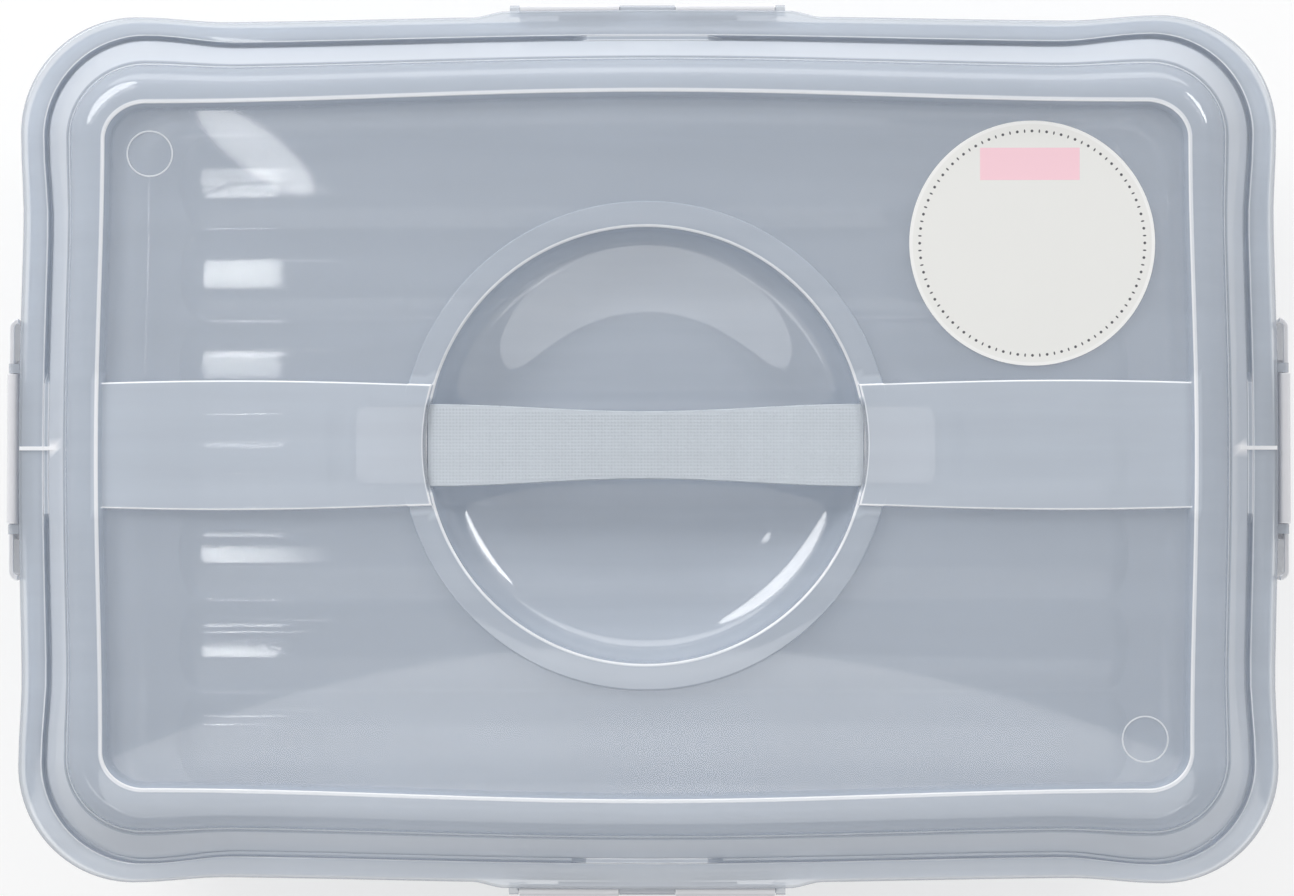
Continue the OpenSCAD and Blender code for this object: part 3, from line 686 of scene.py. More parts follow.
        # The ring's stretch beside the band, and the bowl, turn about the dish's middle.
        polar = np.arctan2(ring[0, rows - 1:, 1], ring[0, rows - 1:, 0])
        even = (polar - polar[0]) / (polar[-1] - polar[0])
        s = 0.45 * even + 0.55 * np.linspace(0, 1, len(even))
        start = np.arctan2(self.ring_edge[:, 1], self.ring_edge[:, 0])
        angle = start[:, None] + (np.pi / 2 - start[:, None]) * s
        radius = self.ring[:, :1]
        beside = level(radius * np.cos(angle), radius * np.sin(angle), self.ring[:, 1])
        beside[:, 0, :2] = self.ring_edge
        beside[:, -1, 0] = 0
        shell.grid(beside)
        bowl_angle = np.concatenate([np.arcsin(band[0, :rows - 1, 1] / self.ring[0, 0]), angle[0]])
        radius = self.bowl[:, :1]
        bowl = level(radius * np.cos(bowl_angle), radius * np.sin(bowl_angle), self.bowl[:, 1])
        bowl[:, -1, 0] = 0
        bowl[-1, :rows] = band[0]
        bowl[-1, rows - 1:] = beside[0]
        if self.under:
            deck = p.panel_z - self.wall
            rise = np.concatenate([self.rise, np.zeros(len(bowl_angle) - rows)])
            bowl[:-1, :, 2] += (np.minimum(bowl[:-1, :, 2], deck) - bowl[:-1, :, 2]) * rise
        shell.grid(bowl)
        # The panel runs from the ring's circle to the ridge's foot, and starts at the band's curved edge.
        near, far = beside[-1], ring[0, rows - 1:]
        t = self.steps[:, None, None]
        panel = near * (1 - t) + far * t
        line = self.panel_edge - (near[0, :2] * (1 - t[:, 0]) + far[0, :2] * t[:, 0])
        fade = np.clip(1 - np.arange(len(s)) / 8, 0, 1) ** 2
        panel[..., :2] += line[:, None] * fade[None, :, None]
        panel[..., 2] = self.rim[0, 1]
        panel[0] = near
        panel[-1] = far
        shell.grid(panel)
        return ring[-1]


def mark_places(scene):
    """The middles of the two round mould marks, in opposite corners of the panel."""
    x = scene.carrier_rim.rim_length / 2 - MARK_END_DISTANCE
    y = scene.carrier_rim.rim_width / 2 - MARK_SIDE_DISTANCE
    return [(x, -y), (-x, y)]


def pocket_cutter(scene):
    """The two pockets for the strap's ends, as boxes with round back corners, and the two round mould
    marks."""
    dish, strap, p = scene.carrier_dish, scene.carrier_strap, Places(scene)
    shell = Shell()
    corners = [
        [dish.radius - 6 * MM, -p.pocket_half],
        [p.pocket_end, -p.pocket_half],
        [p.pocket_end, p.pocket_half],
        [dish.radius - 6 * MM, p.pocket_half],
    ]
    plan = rounded(corners, [0.01 * MM, 5 * MM, 5 * MM, 0.01 * MM], 5)
    heights = np.array([p.panel_z, p.panel_z + strap.thickness + 2 * strap.slot_gap])
    for side in (1, -1):
        shell.bar(np.stack([level(side * plan[:, 0], plan[:, 1], z) for z in heights]))
    circle = arc((0, 0), (dish.mark_radius, dish.mark_radius), 0, 357.5, 143)
    for x, y in mark_places(scene):
        plan, heights = circle + (x, y), (p.panel_z - dish.mark_depth, p.panel_z + 1 * MM)
        shell.bar(np.stack([level(plan[:, 0], plan[:, 1], z) for z in heights]))
    return shell.made("pocket_cutter")


def beside_rim(points, scene, side):
    """Turns points given along, out from and above the middle of a side into the frame: side 0 is the right
    end, 1 the back, 2 the left end and 3 the front."""
    rim = scene.carrier_rim
    reach = rim.rim_length / 2 if side % 2 == 0 else rim.rim_width / 2
    along, out, z = points[..., 0], points[..., 1] + reach, points[..., 2]
    turned = [(out, -along), (along, out), (-out, along), (-along, -out)][side]
    return np.stack([turned[0], turned[1], z], -1)


def along_rim(section, places):
    """A bar's rings: a closed section of out and height pairs at each place along the rim."""
    rings = np.empty((len(places), len(section), 3))
    rings[..., 0] = np.asarray(places)[:, None]
    rings[..., 1:] = section
    return rings


def rod_spans(scene, side):
    """Where a side's rod ends, and its lugs as middle and width pairs."""
    clip = scene.carrier_clip
    middle, knuckle = (clip.middle_lug / 2 + LUG_GAP, clip.long_knuckle) if side % 2 else (
        clip.short_knuckle / 2, 0)
    half = middle + knuckle + LUG_GAP + clip.end_lug
    end = half - clip.end_lug / 2
    lugs = [(-end, clip.end_lug), (0, clip.middle_lug), (end, clip.end_lug)]
    return half, lugs if side % 2 else lugs[::2]


def mark_beads(scene):
    """A thin bead round each mould mark, as objects: a low section turned about the mark's middle."""
    p = Places(scene)
    section = rounded([[-0.24, -0.1], [-0.24, 0.1], [0.24, 0.1], [0.24, -0.1]], 0.12, 3) * MM
    turn = np.radians(np.linspace(0, 360, 145)[:-1])[:, None]
    radius = scene.carrier_dish.mark_radius + section[None, :, 0]
    height = p.panel_z + section[None, :, 1] + 0 * radius * turn
    beads = []
    for x, y in mark_places(scene):
        points = np.stack([x + radius * np.cos(turn), y + radius * np.sin(turn), height], -1)
        shell = Shell()
        shell.grid(np.concatenate([points, points[:1]]), closed=True)
        beads.append(shell.made("bead"))
    return beads


def solid_bar(section, places, scene, side, name):
    """A bar along the rim as an object of its own."""
    shell = Shell()
    shell.bar(beside_rim(along_rim(section, places), scene, side))
    return shell.made(name)


def hinge_rods(scene):
    """The four rods and their lugs as objects: a rod is a cylinder, and a lug a tongue with a round
    nose."""
    clip, p = scene.carrier_clip, Places(scene)
    circle = arc((p.rod_u, p.rod_z), (clip.rod_radius, clip.rod_radius), 0, 345, 23)
    nose = clip.rod_radius + 0.6 * MM
    lug = np.concatenate([
        arc((p.rod_u, p.rod_z), (nose, nose), -90, 90, 12),
        [[-0.9 * MM, p.rod_z + nose], [-0.9 * MM, p.rod_z - nose]],
    ])
    solids = []
    for side in range(4):
        half, lugs = rod_spans(scene, side)
        solids.append(solid_bar(circle, [-half + 1 * MM, half - 1 * MM], scene, side, "rod"))
        for middle, width in lugs:
            places = middle + width * np.array([-0.5, -0.44, 0.44, 0.5])
            solids.append(solid_bar(lug, places, scene, side, "lug"))
    return solids


def rim_ribs(scene):
    """The thin rib across the flange and the slope at the middle of each short side, as objects."""
    p, gain = Places(scene), scene.carrier_lid.end_flange_gain
    inner = -(p.groove_inner + gain)
    section = rounded([
        [-0.5 * MM, p.flange_z - 1.2 * MM],
        [-0.7 * MM, p.flange_z + 0.6 * MM],
        [inner - 0.2 * MM, p.flange_z + 0.6 * MM],
        [inner - 3.2 * MM, p.flange_z + 4.4 * MM],
        [inner - 3.6 * MM, p.flange_z + 2.6 * MM],
        [inner - 0.8 * MM, p.flange_z - 1.0 * MM],
    ], 0.4 * MM, 3)
    return [solid_bar(section, [-0.65 * MM, 0.65 * MM], scene, side, "rib") for side in (0, 2)]


# The tub

RIB_FLAT = 0.27


def tub_skin(scene, shell, under):
    """Adds a quarter of one of the tub's skins: the wall as outlines at insets and heights, and the floor
    as a patch between four edges, with a round crown over each rib. Returns the ring at its top."""
    tub, p = scene.carrier_tub, Places(scene)
    lean = math.tan(p.lean_angle)
    wall_angle = math.degrees(p.lean_angle)
    if under:
        radius, floor_z, foot = tub.fillet + tub.wall, 0.0, p.tub_outer + p.lip_under_z * lean
    else:
        radius, floor_z, foot = tub.fillet, tub.floor, p.tub_inner + tub.lean
    centre = (foot + radius * math.tan((math.pi / 2 - p.lean_angle) / 2), floor_z + radius)
    fillet = arc(centre, (radius, radius), -90, wall_angle - 180, 9)
    if under:
        profile = np.concatenate([fillet, [
            [p.tub_outer + 20 * MM * lean, p.lip_under_z - 20 * MM],
            [p.tub_outer, p.lip_under_z],
            [LIP_INSET + EDGE, p.lip_under_z],
            [LIP_INSET, p.lip_under_z + EDGE],
            [LIP_INSET, p.lip_top_z - EDGE],
            [LIP_INSET + EDGE, p.lip_top_z],
            [p.tub_outer, p.lip_top_z],
            [p.tub_outer, p.tub_rim_z - EDGE],
            [p.tub_outer + EDGE, p.tub_rim_z],
        ]])
    else:
        profile = np.concatenate([fillet, [
            [p.tub_inner + 20 * MM * lean, p.lip_under_z - 20 * MM],
            [p.tub_inner, p.lip_under_z],
            [p.tub_inner, p.tub_rim_z - EDGE],
            [p.tub_inner - EDGE, p.tub_rim_z],
        ]])
    # Points along the short side, half a corner and the long side.
    short, corner, long = 90, 13, 64
    corner_t = np.linspace(1, 0, 2 * corner - 1)
    zone = np.repeat([SHORT, CORNER, LONG], [short, len(corner_t) - 2, long])
    t = np.concatenate([np.linspace(1, 0, short), corner_t[1:-1], np.linspace(1, 0, long)])
    x, y = outline(scene, profile[:, 0], zone, t)
    ring = level(x, y, profile[:, 1])
    shell.grid(ring)
    turn = short + corner - 2
    right, back = ring[0, :turn + 1, :2], ring[0, turn:, :2][::-1]
    u = (back[:, 0] / back[-1, 0])[:, None, None]
    v = (right[:, 1] / right[-1, 1])[None, :, None]
    low = np.stack([u[:, :, 0] * right[0, 0], 0 * u[:, :, 0]], -1)
    left = np.stack([0 * v[:, :, 0], v[:, :, 0] * back[0, 1]], -1)
    corner_point = right[-1]
    floor = (
        (1 - v) * low + v * back[:, None] + (1 - u) * left + u * right[None]
        - (u * (1 - v) * right[0] + (1 - u) * v * back[0] + u * v * corner_point)
    )
    z = np.full(floor.shape[:2], floor_z)
    middles = (np.arange(tub.rib_count) - (tub.rib_count - 1) / 2) * tub.rib_pitch
    beyond = np.maximum(np.abs(floor[..., 0]) - tub.rib_length / 2, 0)
    half = tub.rib_width / 2
    for middle in middles:
        across = np.hypot(beyond * half / tub.rib_end, floor[..., 1] - middle) / half
        crown = 1 - np.clip((across - RIB_FLAT) / (1 - RIB_FLAT), 0, None) ** 2
        z = np.maximum(z, floor_z + tub.rib_height * crown)
    shell.grid(np.concatenate([floor, z[..., None]], -1))
    return ring[-1]


# The clips


def clip_plate(scene, lip):
    """The rings of a clip's plate. Along its path, which turns in towards the rim at both ends, each ring
    is a section from the plate's top to its bottom edge: the outer face flares out to the finger lip, the
    lower corners are round, and the first and last rings shrink to round the ends."""
    clip, p = scene.carrier_clip, Places(scene)
    half, turn, corner, round_edge = clip.clip_length / 2, 3.4 * MM, 6 * MM, 0.6 * MM
    outer = p.rod_u + clip.knuckle_radius
    top, bottom = p.rod_z - clip.rod_radius - 1.5 * MM, p.rod_z - clip.clip_height
    bend = arc((half - turn, outer - turn), (turn, turn), 90, 4, 12)
    path = np.concatenate([[[0, outer], [half / 3, outer], [half * 0.7, outer]], bend])
    heading = np.gradient(path, axis=0)
    heading[:3] = [1, 0]
    heading /= np.linalg.norm(heading, axis=1)[:, None]
    run = np.concatenate([[0], np.cumsum(np.linalg.norm(np.diff(path, axis=0), axis=1))])
    left = run[-1] - run
    shrink = np.minimum(round_off(left, round_edge), clip.plate * 0.45)
    rise = round_off(left, corner)
    steps = np.linspace(0, 1, 17)
    rings = []
    for i in range(len(path)):
        low, high = bottom + rise[i] + shrink[i], top - shrink[i]
        z = high + (low - high) * steps
        flare = lip * np.clip((p.rod_z - clip.clip_height + 7 * MM - z) / (6 * MM), 0, 1) ** 2
        hollow = 0.35 * MM * np.sin(np.pi * np.clip((z - low) / (high - low), 0, 1)) ** 2
        outside = np.stack([flare - shrink[i] - hollow, z], -1)
        inside = np.stack([flare - clip.plate + shrink[i], z], -1)[::-1]
        section = rounded(np.concatenate([outside, inside]), 0.45 * MM, 3)
        normal = np.array([-heading[i, 1], heading[i, 0]])
        spot = path[i] + normal * section[:, :1]
        rings.append(np.concatenate([spot, section[:, 1:]], -1))
    rings = np.array(rings)
    mirror = rings[:0:-1] * np.array([-1, 1, 1])
    return np.concatenate([mirror, rings])


def clip_knuckle(scene):
    """The section of a knuckle: a hook round the rod, open towards the tub, that ends in a stem on the
    plate."""
    clip, p = scene.carrier_clip, Places(scene)
    outer, bore = clip.knuckle_radius, clip.rod_radius + clip.rod_clearance
    low = p.rod_z - clip.rod_radius - 2.2 * MM
    front = p.rod_u + outer
    back = front - clip.plate
    return np.concatenate([
        [[front, low]],
        arc((p.rod_u, p.rod_z), (outer, outer), 0, 212, 22),
        arc((p.rod_u, p.rod_z), (bore, bore), 218, -52, 26),
        [[back, low]],
    ])


def clip_shape(scene, side):
    """One clip as a mesh object: its plate, knuckles and hook made one, beside its side of the rim."""
    clip, p = scene.carrier_clip, Places(scene)
    lip = 0 if side % 2 else clip.short_lip
    if side % 2:
        middle = clip.middle_lug / 2 + LUG_GAP + clip.long_knuckle / 2
        knuckles = [(-middle, clip.long_knuckle), (middle, clip.long_knuckle)]
    else:
        knuckles = [(0, clip.short_knuckle)]
    plate = Shell()
    plate.bar(beside_rim(clip_plate(scene, lip), scene, side))
    parts = [plate.made("clip_plate")]
    for middle, width in knuckles:
        places = middle + width * np.array([-0.5, -0.49, -0.47, 0.47, 0.49, 0.5])
        parts.append(solid_bar(clip_knuckle(scene), places, scene, side, "clip_knuckle"))
    back = p.rod_u + clip.knuckle_radius - clip.plate
    top = p.lip_under_z - 0.5 * MM
    section = rounded([
        [back + 0.8 * MM, top], [0.15 * MM, top], [0.15 * MM, top - 0.9 * MM],
        [back, top - 3.2 * MM], [back + 0.8 * MM, top - 3.2 * MM],
    ], 0.3 * MM, 3)
    places = clip.hook_length / 2 * np.array([-1, 1])
    parts.append(solid_bar(section, places, scene, side, "clip_hook"))
    return combined(parts[0], parts[1:], "UNION")


# The strap


def strap_swell(scene, x):
    """1 at the strap's middle and 0 at the slots, along a cosine."""
    return (1 + np.cos(np.pi * np.clip(np.abs(x) / Places(scene).reach, 0, 1))) / 2


def strap_length(scene, start, end):
    """A stretch of the strap as rings: each is a section with round edges, whose top carries the knurls: a
    grid of small domes, each the product of a raised cosine along and one across. A faint sine ripple runs
    along."""
    strap, p = scene.carrier_strap, Places(scene)
    fine = strap.knurl_pitch / 4
    x = np.linspace(start, end, max(2, int(round((end - start) / fine))) + 1)[:, None]
    swell = strap_swell(scene, x)
    middle = p.strap_z + strap.crown * swell
    thick = (strap.thickness + (strap.grip_thickness - strap.thickness) * swell) / 2
    half = (strap.end_width + (strap.waist - strap.end_width) * swell) / 2
    edge = 0.5 * MM
    across = np.linspace(-1, 1, int(strap.end_width / fine) | 1)[None, :]
    top_y = across * (half - edge)
    wave = 0.5 + 0.5 * np.cos(2 * np.pi * x / strap.knurl_pitch)
    weave = 0.5 + 0.5 * np.cos(2 * np.pi * top_y / strap.knurl_pitch)
    inside = np.clip((half - np.abs(top_y) - 0.9 * MM) / (0.3 * MM), 0, 1)
    inside = inside * np.clip((p.reach - 0.8 * MM - np.abs(x)) / (0.3 * MM), 0, 1)
    dome = strap.knurl_height * wave * weave * inside
    fade = np.clip((p.reach - np.abs(x)) / (8 * MM), 0, 1)
    ripple = 0.07 * MM * np.sin(2 * np.pi * x / (11.5 * MM)) * fade
    top_z = middle + thick - strap.knurl_height + dome + ripple
    turn = np.radians(np.linspace(90, -90, 7))[None, 1:-1]
    side_y = half - edge + edge * np.cos(turn)
    side_z = middle + (thick - strap.knurl_height / 2) * np.sin(turn) + ripple / 2
    y = np.concatenate([top_y, side_y, half - edge, edge - half, -side_y[:, ::-1]], 1)
    z = np.concatenate([top_z, side_z, middle - thick, middle - thick, side_z[:, ::-1]], 1)
    return np.stack([np.broadcast_to(x, y.shape), y, z], -1)


def strap_tab(scene, side):
    """The tab as a grid over a square turned into its round-cornered plan, for its top and its bottom, with
    two low ribs on top that meet in a point."""
    strap, p = scene.carrier_strap, Places(scene)
    start = p.reach + strap.slot_gap
    end, half, corner = start + strap.tab_length, strap.tab_width / 2, 4 * MM
    x = np.concatenate([
        [start, start + 0.3 * MM],
        np.linspace(start + 1 * MM, end - corner, 24),
        end - corner + corner * np.sin(np.radians(np.linspace(8, 90, 11))),
    ])[:, None]
    fall = np.clip(x - end + corner, 0, corner)
    plan = half - corner + np.sqrt(np.clip(corner**2 - fall**2, 0, None))
    across = np.sin(np.radians(np.linspace(-90, 90, 41)))[None, :]
    y = plan * across
    near_edge = np.minimum(plan - np.abs(y), np.minimum(x - start, end - x))
    drop = round_off(near_edge, EDGE)
    away = np.abs(np.abs(y) * 1.1 - (x - start - 3 * MM)) / 1.5
    rib = 0.18 * MM * np.clip(1 - away / (0.7 * MM), 0, 1) * (np.abs(y) < half - 3 * MM)
    top = p.strap_z + strap.thickness / 2 - drop + rib
    bottom = p.strap_z - strap.thickness / 2 + drop
    shell = Shell()
    sides = np.broadcast_to(x, y.shape) * side
    upper, lower = np.stack([sides, y, top], -1), np.stack([sides, y, bottom], -1)
    shell.grid(upper)
    shell.grid(lower)
    for end in (0, -1):
        shell.grid(np.stack([upper[end], lower[end]]))
        shell.grid(np.stack([upper[:, end], lower[:, end]]))
    return shell


# Painted highlights and shade at edges, and milkiness


def lid_painted_edges(scene, piece):
    """The painted light at the lid's edges, from -1 for painted shade to 1 for painted highlight, and how
    milky its wall is, for each point. A point's zone follows from its height, from its inset from a
    rectangle with round corners, and from its distance from the dish's middle. The bands, the ring, the
    bowl and all that lies outside the ridge are milky. The ridge's top, the upper line of the step, the
    slope, the groove and the ribs across the rim get a painted highlight. The lower line of the step, the
    slots and the flange's outer edge get painted shade."""
    p, rim, dish = Places(scene), scene.carrier_rim, scene.carrier_dish
    point, facing = vertices(piece, "co"), vertices(piece, "normal")
    x, y, z = np.abs(point[:, 0]), np.abs(point[:, 1]), point[:, 2]
    distance = np.hypot(x, y)
    beyond = np.stack([x - rim.rim_length / 2, y - rim.rim_width / 2], -1) + rim.corner_radius
    turned = np.linalg.norm(np.clip(beyond, 0, None), axis=1)
    inset = rim.corner_radius - turned - np.clip(beyond.max(1), None, 0)
    inside, upwards = inset > p.ridge_inner, facing[:, 2] > -0.1

    on_band = (x > dish.radius * 0.9) & (y < dish.band_width / 2 + dish.band_swell)
    raised = np.clip((z - p.panel_z - 0.3 * MM) / (1 * MM), 0, 1) * np.where(on_band, 1, 0.45)
    rim_zone = 0.8 * np.clip((p.step_z + 0.6 * MM - z) / (1 * MM), 0, 1)
    bowl = (distance < dish.radius + 0.1 * MM) & (z < p.panel_z + 1 * MM)
    steep = np.clip(1 - facing[:, 2] / 0.75, 0, 1)
    milk = np.where(inside, raised, np.maximum(rim_zone, 0.45))
    milk = np.maximum(milk, bowl * (0.5 + 0.4 * steep))

    # Painted highlight along the ridge's top.
    painted_light = 0.75 * np.clip((z - p.ridge_z + 0.07 * MM) / (0.05 * MM), 0, 1)
    # Painted highlight on the step's upper line, and a painted shadow line on its lower one.
    painted_light[np.isclose(z, p.step_z + 0.25 * MM, atol=0.01 * MM) & upwards] = 0.7
    painted_light[np.isclose(z, p.step_z - 0.15 * MM, atol=0.01 * MM) & upwards] = -1
    # Painted shadow in the slots for the strap.
    slot = (y < p.pocket_half) & (distance < dish.radius + 1.35 * MM) & (z > p.panel_z + 1 * MM)
    painted_light[slot] = -1
    # A faint painted shade on the ring's outer edge, in place of the bend's painted highlight.
    ring_edge = np.abs(distance - dish.radius - dish.ring_width + 0.5 * MM) < 0.7 * MM
    painted_light[ring_edge & inside & (z < p.ring_z + 0.05 * MM) & upwards] = -0.05
    # Painted highlight on the slope.
    slope = (z < p.step_z - 0.4 * MM) & (z > p.flange_z + 0.1 * MM) & (facing[:, 2] < 0.9)
    painted_light[slope & ~inside & upwards] = 0.3
    # Painted highlight in the groove.
    groove = (z < p.flange_z - 0.4 * MM) & (inset > 4.5 * MM)
    painted_light[groove & ~inside & upwards] = 0.25
    # Painted shade on the flange's outer edge, which also hides all behind it.
    edge = (inset < 3.8 * MM) & (z < p.flange_z - 0.02 * MM) & (z > p.flange_z - 3 * MM)
    painted_light[edge], milk[edge] = -0.8, 1
    # Painted highlight on the ribs across the rim.
    rib = (y < 0.8 * MM) & (z > p.flange_z + 0.2 * MM) & (x > rim.rim_length / 2 - 15 * MM)
    painted_light[rib & ~inside] = 1
    return painted_light, milk * upwards


def vertices(piece, name):
    """The places ("co") or the directions ("normal") of a piece's vertices."""
    flat = np.empty(len(piece.data.vertices) * 3)
    piece.data.vertices.foreach_get(name, flat)
    return flat.reshape(-1, 3)


def note_edges(piece, extra=None):
    """Writes two vertex attributes. The first is painted light: how far the sharpest bend at a vertex goes
    from 0 to 1, where a bend is the angle between two faces over the distance between their middles: a
    painted highlight at edges that stand out, on surfaces that look up or sideways, and a painted shade,
    negative, at hollow ones. The second is how milky the wall is. Extra values for both can be given: a
    negative extra painted light takes the bend's place."""
    mesh = piece.data
    loops, faces = len(mesh.loops), len(mesh.polygons)
    edge_of_loop, total = np.empty(loops, int), np.empty(faces, int)
    centre, normal = np.empty(faces * 3), np.empty(faces * 3)
    mesh.loops.foreach_get("edge_index", edge_of_loop)
    mesh.polygons.foreach_get("loop_total", total)
    mesh.polygons.foreach_get("center", centre)
    mesh.polygons.foreach_get("normal", normal)
    centre, normal = centre.reshape(-1, 3), normal.reshape(-1, 3)
    face_of_loop = np.repeat(np.arange(faces), total)
    order = np.argsort(edge_of_loop, kind="stable")
    edge, face = edge_of_loop[order], face_of_loop[order]
    pair = np.flatnonzero(edge[1:] == edge[:-1])
    a, b, edge = face[pair], face[pair + 1], edge[pair]
    between = centre[b] - centre[a]
    bend = np.arccos(np.clip((normal[a] * normal[b]).sum(1), -1, 1))
    value = -np.sign((between * normal[a]).sum(1)) * bend / (np.linalg.norm(between, axis=1) / MM + 0.05)
    ends = np.empty(len(mesh.edges) * 2, int)
    mesh.edges.foreach_get("vertices", ends)
    ends = ends.reshape(-1, 2)[edge]
    high, low = np.zeros(len(mesh.vertices)), np.zeros(len(mesh.vertices))
    for column in (0, 1):
        np.maximum.at(high, ends[:, column], value)
        np.minimum.at(low, ends[:, column], value)
    # Faces that look up keep the painted light, sideways ones most of it, downward ones none.
    seen = np.clip(vertices(piece, "normal")[:, 2] / 0.25 + 0.6, 0, 1)
    # Painted highlight at edges that stand out, painted shade at hollow ones.
    painted_light = np.clip((high - 0.15) / 0.95, 0, 1) - 0.6 * np.clip((-low - 0.3) / 1.5, 0, 1) * (high < 0.3)
    milk = np.zeros(len(mesh.vertices))
    if extra is not None:
        painted_light, milk = np.where(extra[0] < 0, extra[0], np.maximum(painted_light, extra[0])), extra[1]
    for name, values in [("painted_edge_light", np.where(painted_light > -0.9, painted_light * seen, painted_light)), ("milk", milk)]:
        attribute = mesh.attributes.new(name, "FLOAT", "POINT")
        attribute.data.foreach_set("value", values.astype(np.float32))
    return piece


# Materials


class Nodes:
    """Builds a material's nodes."""

    def __init__(self, name):
        self.material = bpy.data.materials.new("carrier_" + name)
        self.material.use_nodes = True
        self.tree = self.material.node_tree
        self.tree.nodes.clear()
        self.out = self.add("ShaderNodeOutputMaterial")

    def add(self, kind, inputs=None, **values):
        """A node with its settings, and with its inputs, each a socket to link or a plain value."""
        node = self.tree.nodes.new(kind)
        for key, value in values.items():
            setattr(node, key, value)
        for key, value in (inputs or {}).items():
            if isinstance(value, bpy.types.NodeSocket):
                self.tree.links.new(value, node.inputs[key])
            else:
                node.inputs[key].default_value = value
        return node

    def noise(self, scale, detail=2.0, stretch=(1, 1, 1)):
        """A noise on the object's own coordinates, in cells for each metre."""
        place = self.add("ShaderNodeTexCoord").outputs["Object"]
        mapped = self.add("ShaderNodeMapping", {"Vector": place, "Scale": stretch}).outputs["Vector"]
        inputs = {"Vector": mapped, "Scale": scale, "Detail": detail}
        return self.add("ShaderNodeTexNoise", inputs).outputs["Fac"]

    def attribute(self, name):
        """A value stored at the piece's vertices."""
        found = self.add("ShaderNodeAttribute", attribute_name=name, attribute_type="GEOMETRY")
        return found.outputs["Fac"]

    def map_range(self, value, low, high, to_low, to_high):
        """A value stretched from one range to another, and held inside it."""
        ranges = {"Value": value, "From Min": low, "From Max": high, "To Min": to_low, "To Max": to_high}
        return self.add("ShaderNodeMapRange", ranges).outputs["Result"]

    def math(self, kind, *values):
        """One step of arithmetic on sockets and numbers."""
        return self.add("ShaderNodeMath", dict(enumerate(values)), operation=kind).outputs[0]

    def mix(self, factor, under, over):
        """A colour laid over another by a factor."""
        return self.add("ShaderNodeMix", {0: factor, 6: under, 7: (*over, 1)}, data_type="RGBA").outputs[2]

    def blend_colours(self, factor, first, second):
        """A colour ramp from one colour to another."""
        ramp = self.add("ShaderNodeValToRGB", {"Fac": factor})
        ramp.color_ramp.elements[0].color = (*first, 1)
        ramp.color_ramp.elements[1].color = (*second, 1)
        return ramp.outputs["Color"]

    def shade(self, base, roughness, cover=1.0, bump=None, bump_height=0.0001, **sockets):
        """The plastic or paper itself: a Principled shader."""
        inputs = {"Base Color": base, "Roughness": roughness, "Alpha": cover}
        if bump is not None:
            relief = {"Height": bump, "Strength": 1.0, "Distance": bump_height}
            inputs["Normal"] = self.add("ShaderNodeBump", relief).outputs["Normal"]
        inputs.update({key.replace("_", " "): value for key, value in sockets.items()})
        shader = self.add("ShaderNodeBsdfPrincipled", inputs)
        self.tree.links.new(shader.outputs["BSDF"], self.out.inputs["Surface"])
        return self.material


def tinted(tone, amount):
    """A colour made lighter or darker by a share."""
    return tuple(min(1.0, c * (1 + amount)) for c in tone)


def frosted_plastic(slot, tone, cover, roughness, ior=1.5, edge_cover=0.3, milk_cover=0.0, relief=0.002):
    """Frosted moulded plastic: a faint cloudiness in its colour and a fine satin grain. Edges that stand
    out get a painted highlight, paler and hiding more, hollow ones get a painted shade, darker, and milky
    walls hide more."""
    nodes = Nodes(slot)
    even, long = nodes.noise(14, 3), nodes.noise(12, 3, (0.7, 9, 1))
    streaks = nodes.math("MULTIPLY", nodes.math("ADD", even, long), 0.5)
    streaks = nodes.map_range(streaks, 0.3, 0.7, 0, 1)
    cloud = nodes.blend_colours(streaks, tinted(tone, -0.06), tinted(tone, 0.06))
    # edge holds the painted light at the edges: above 0 a painted highlight, below 0 a painted shade.
    edge, milk = nodes.attribute("painted_edge_light"), nodes.attribute("milk")
    painted_light = bpy.context.scene.carrier_finish.painted_highlight_colour
    # Painted highlight: the edge colour laid over the cloud where the painted light is above 0.
    base = nodes.mix(nodes.map_range(edge, 0, 1, 0, 1), cloud, painted_light)
    # Painted shade: a darker tone laid over the colour where the painted light is below 0.
    base = nodes.mix(nodes.map_range(edge, -1, 0, 0.8, 0), base, tinted(tone, -0.5))
    milky = nodes.map_range(milk, 0, 1, cover, cover + milk_cover)
    over = nodes.math("ADD", milky, nodes.map_range(edge, 0, 1, 0, edge_cover))
    grain = nodes.noise(900, 2)
    satin = nodes.map_range(grain, 0.3, 0.7, roughness * 0.7, roughness * 1.3)
    return nodes.shade(base, satin, over, grain if relief else None, relief * MM, IOR=ior)


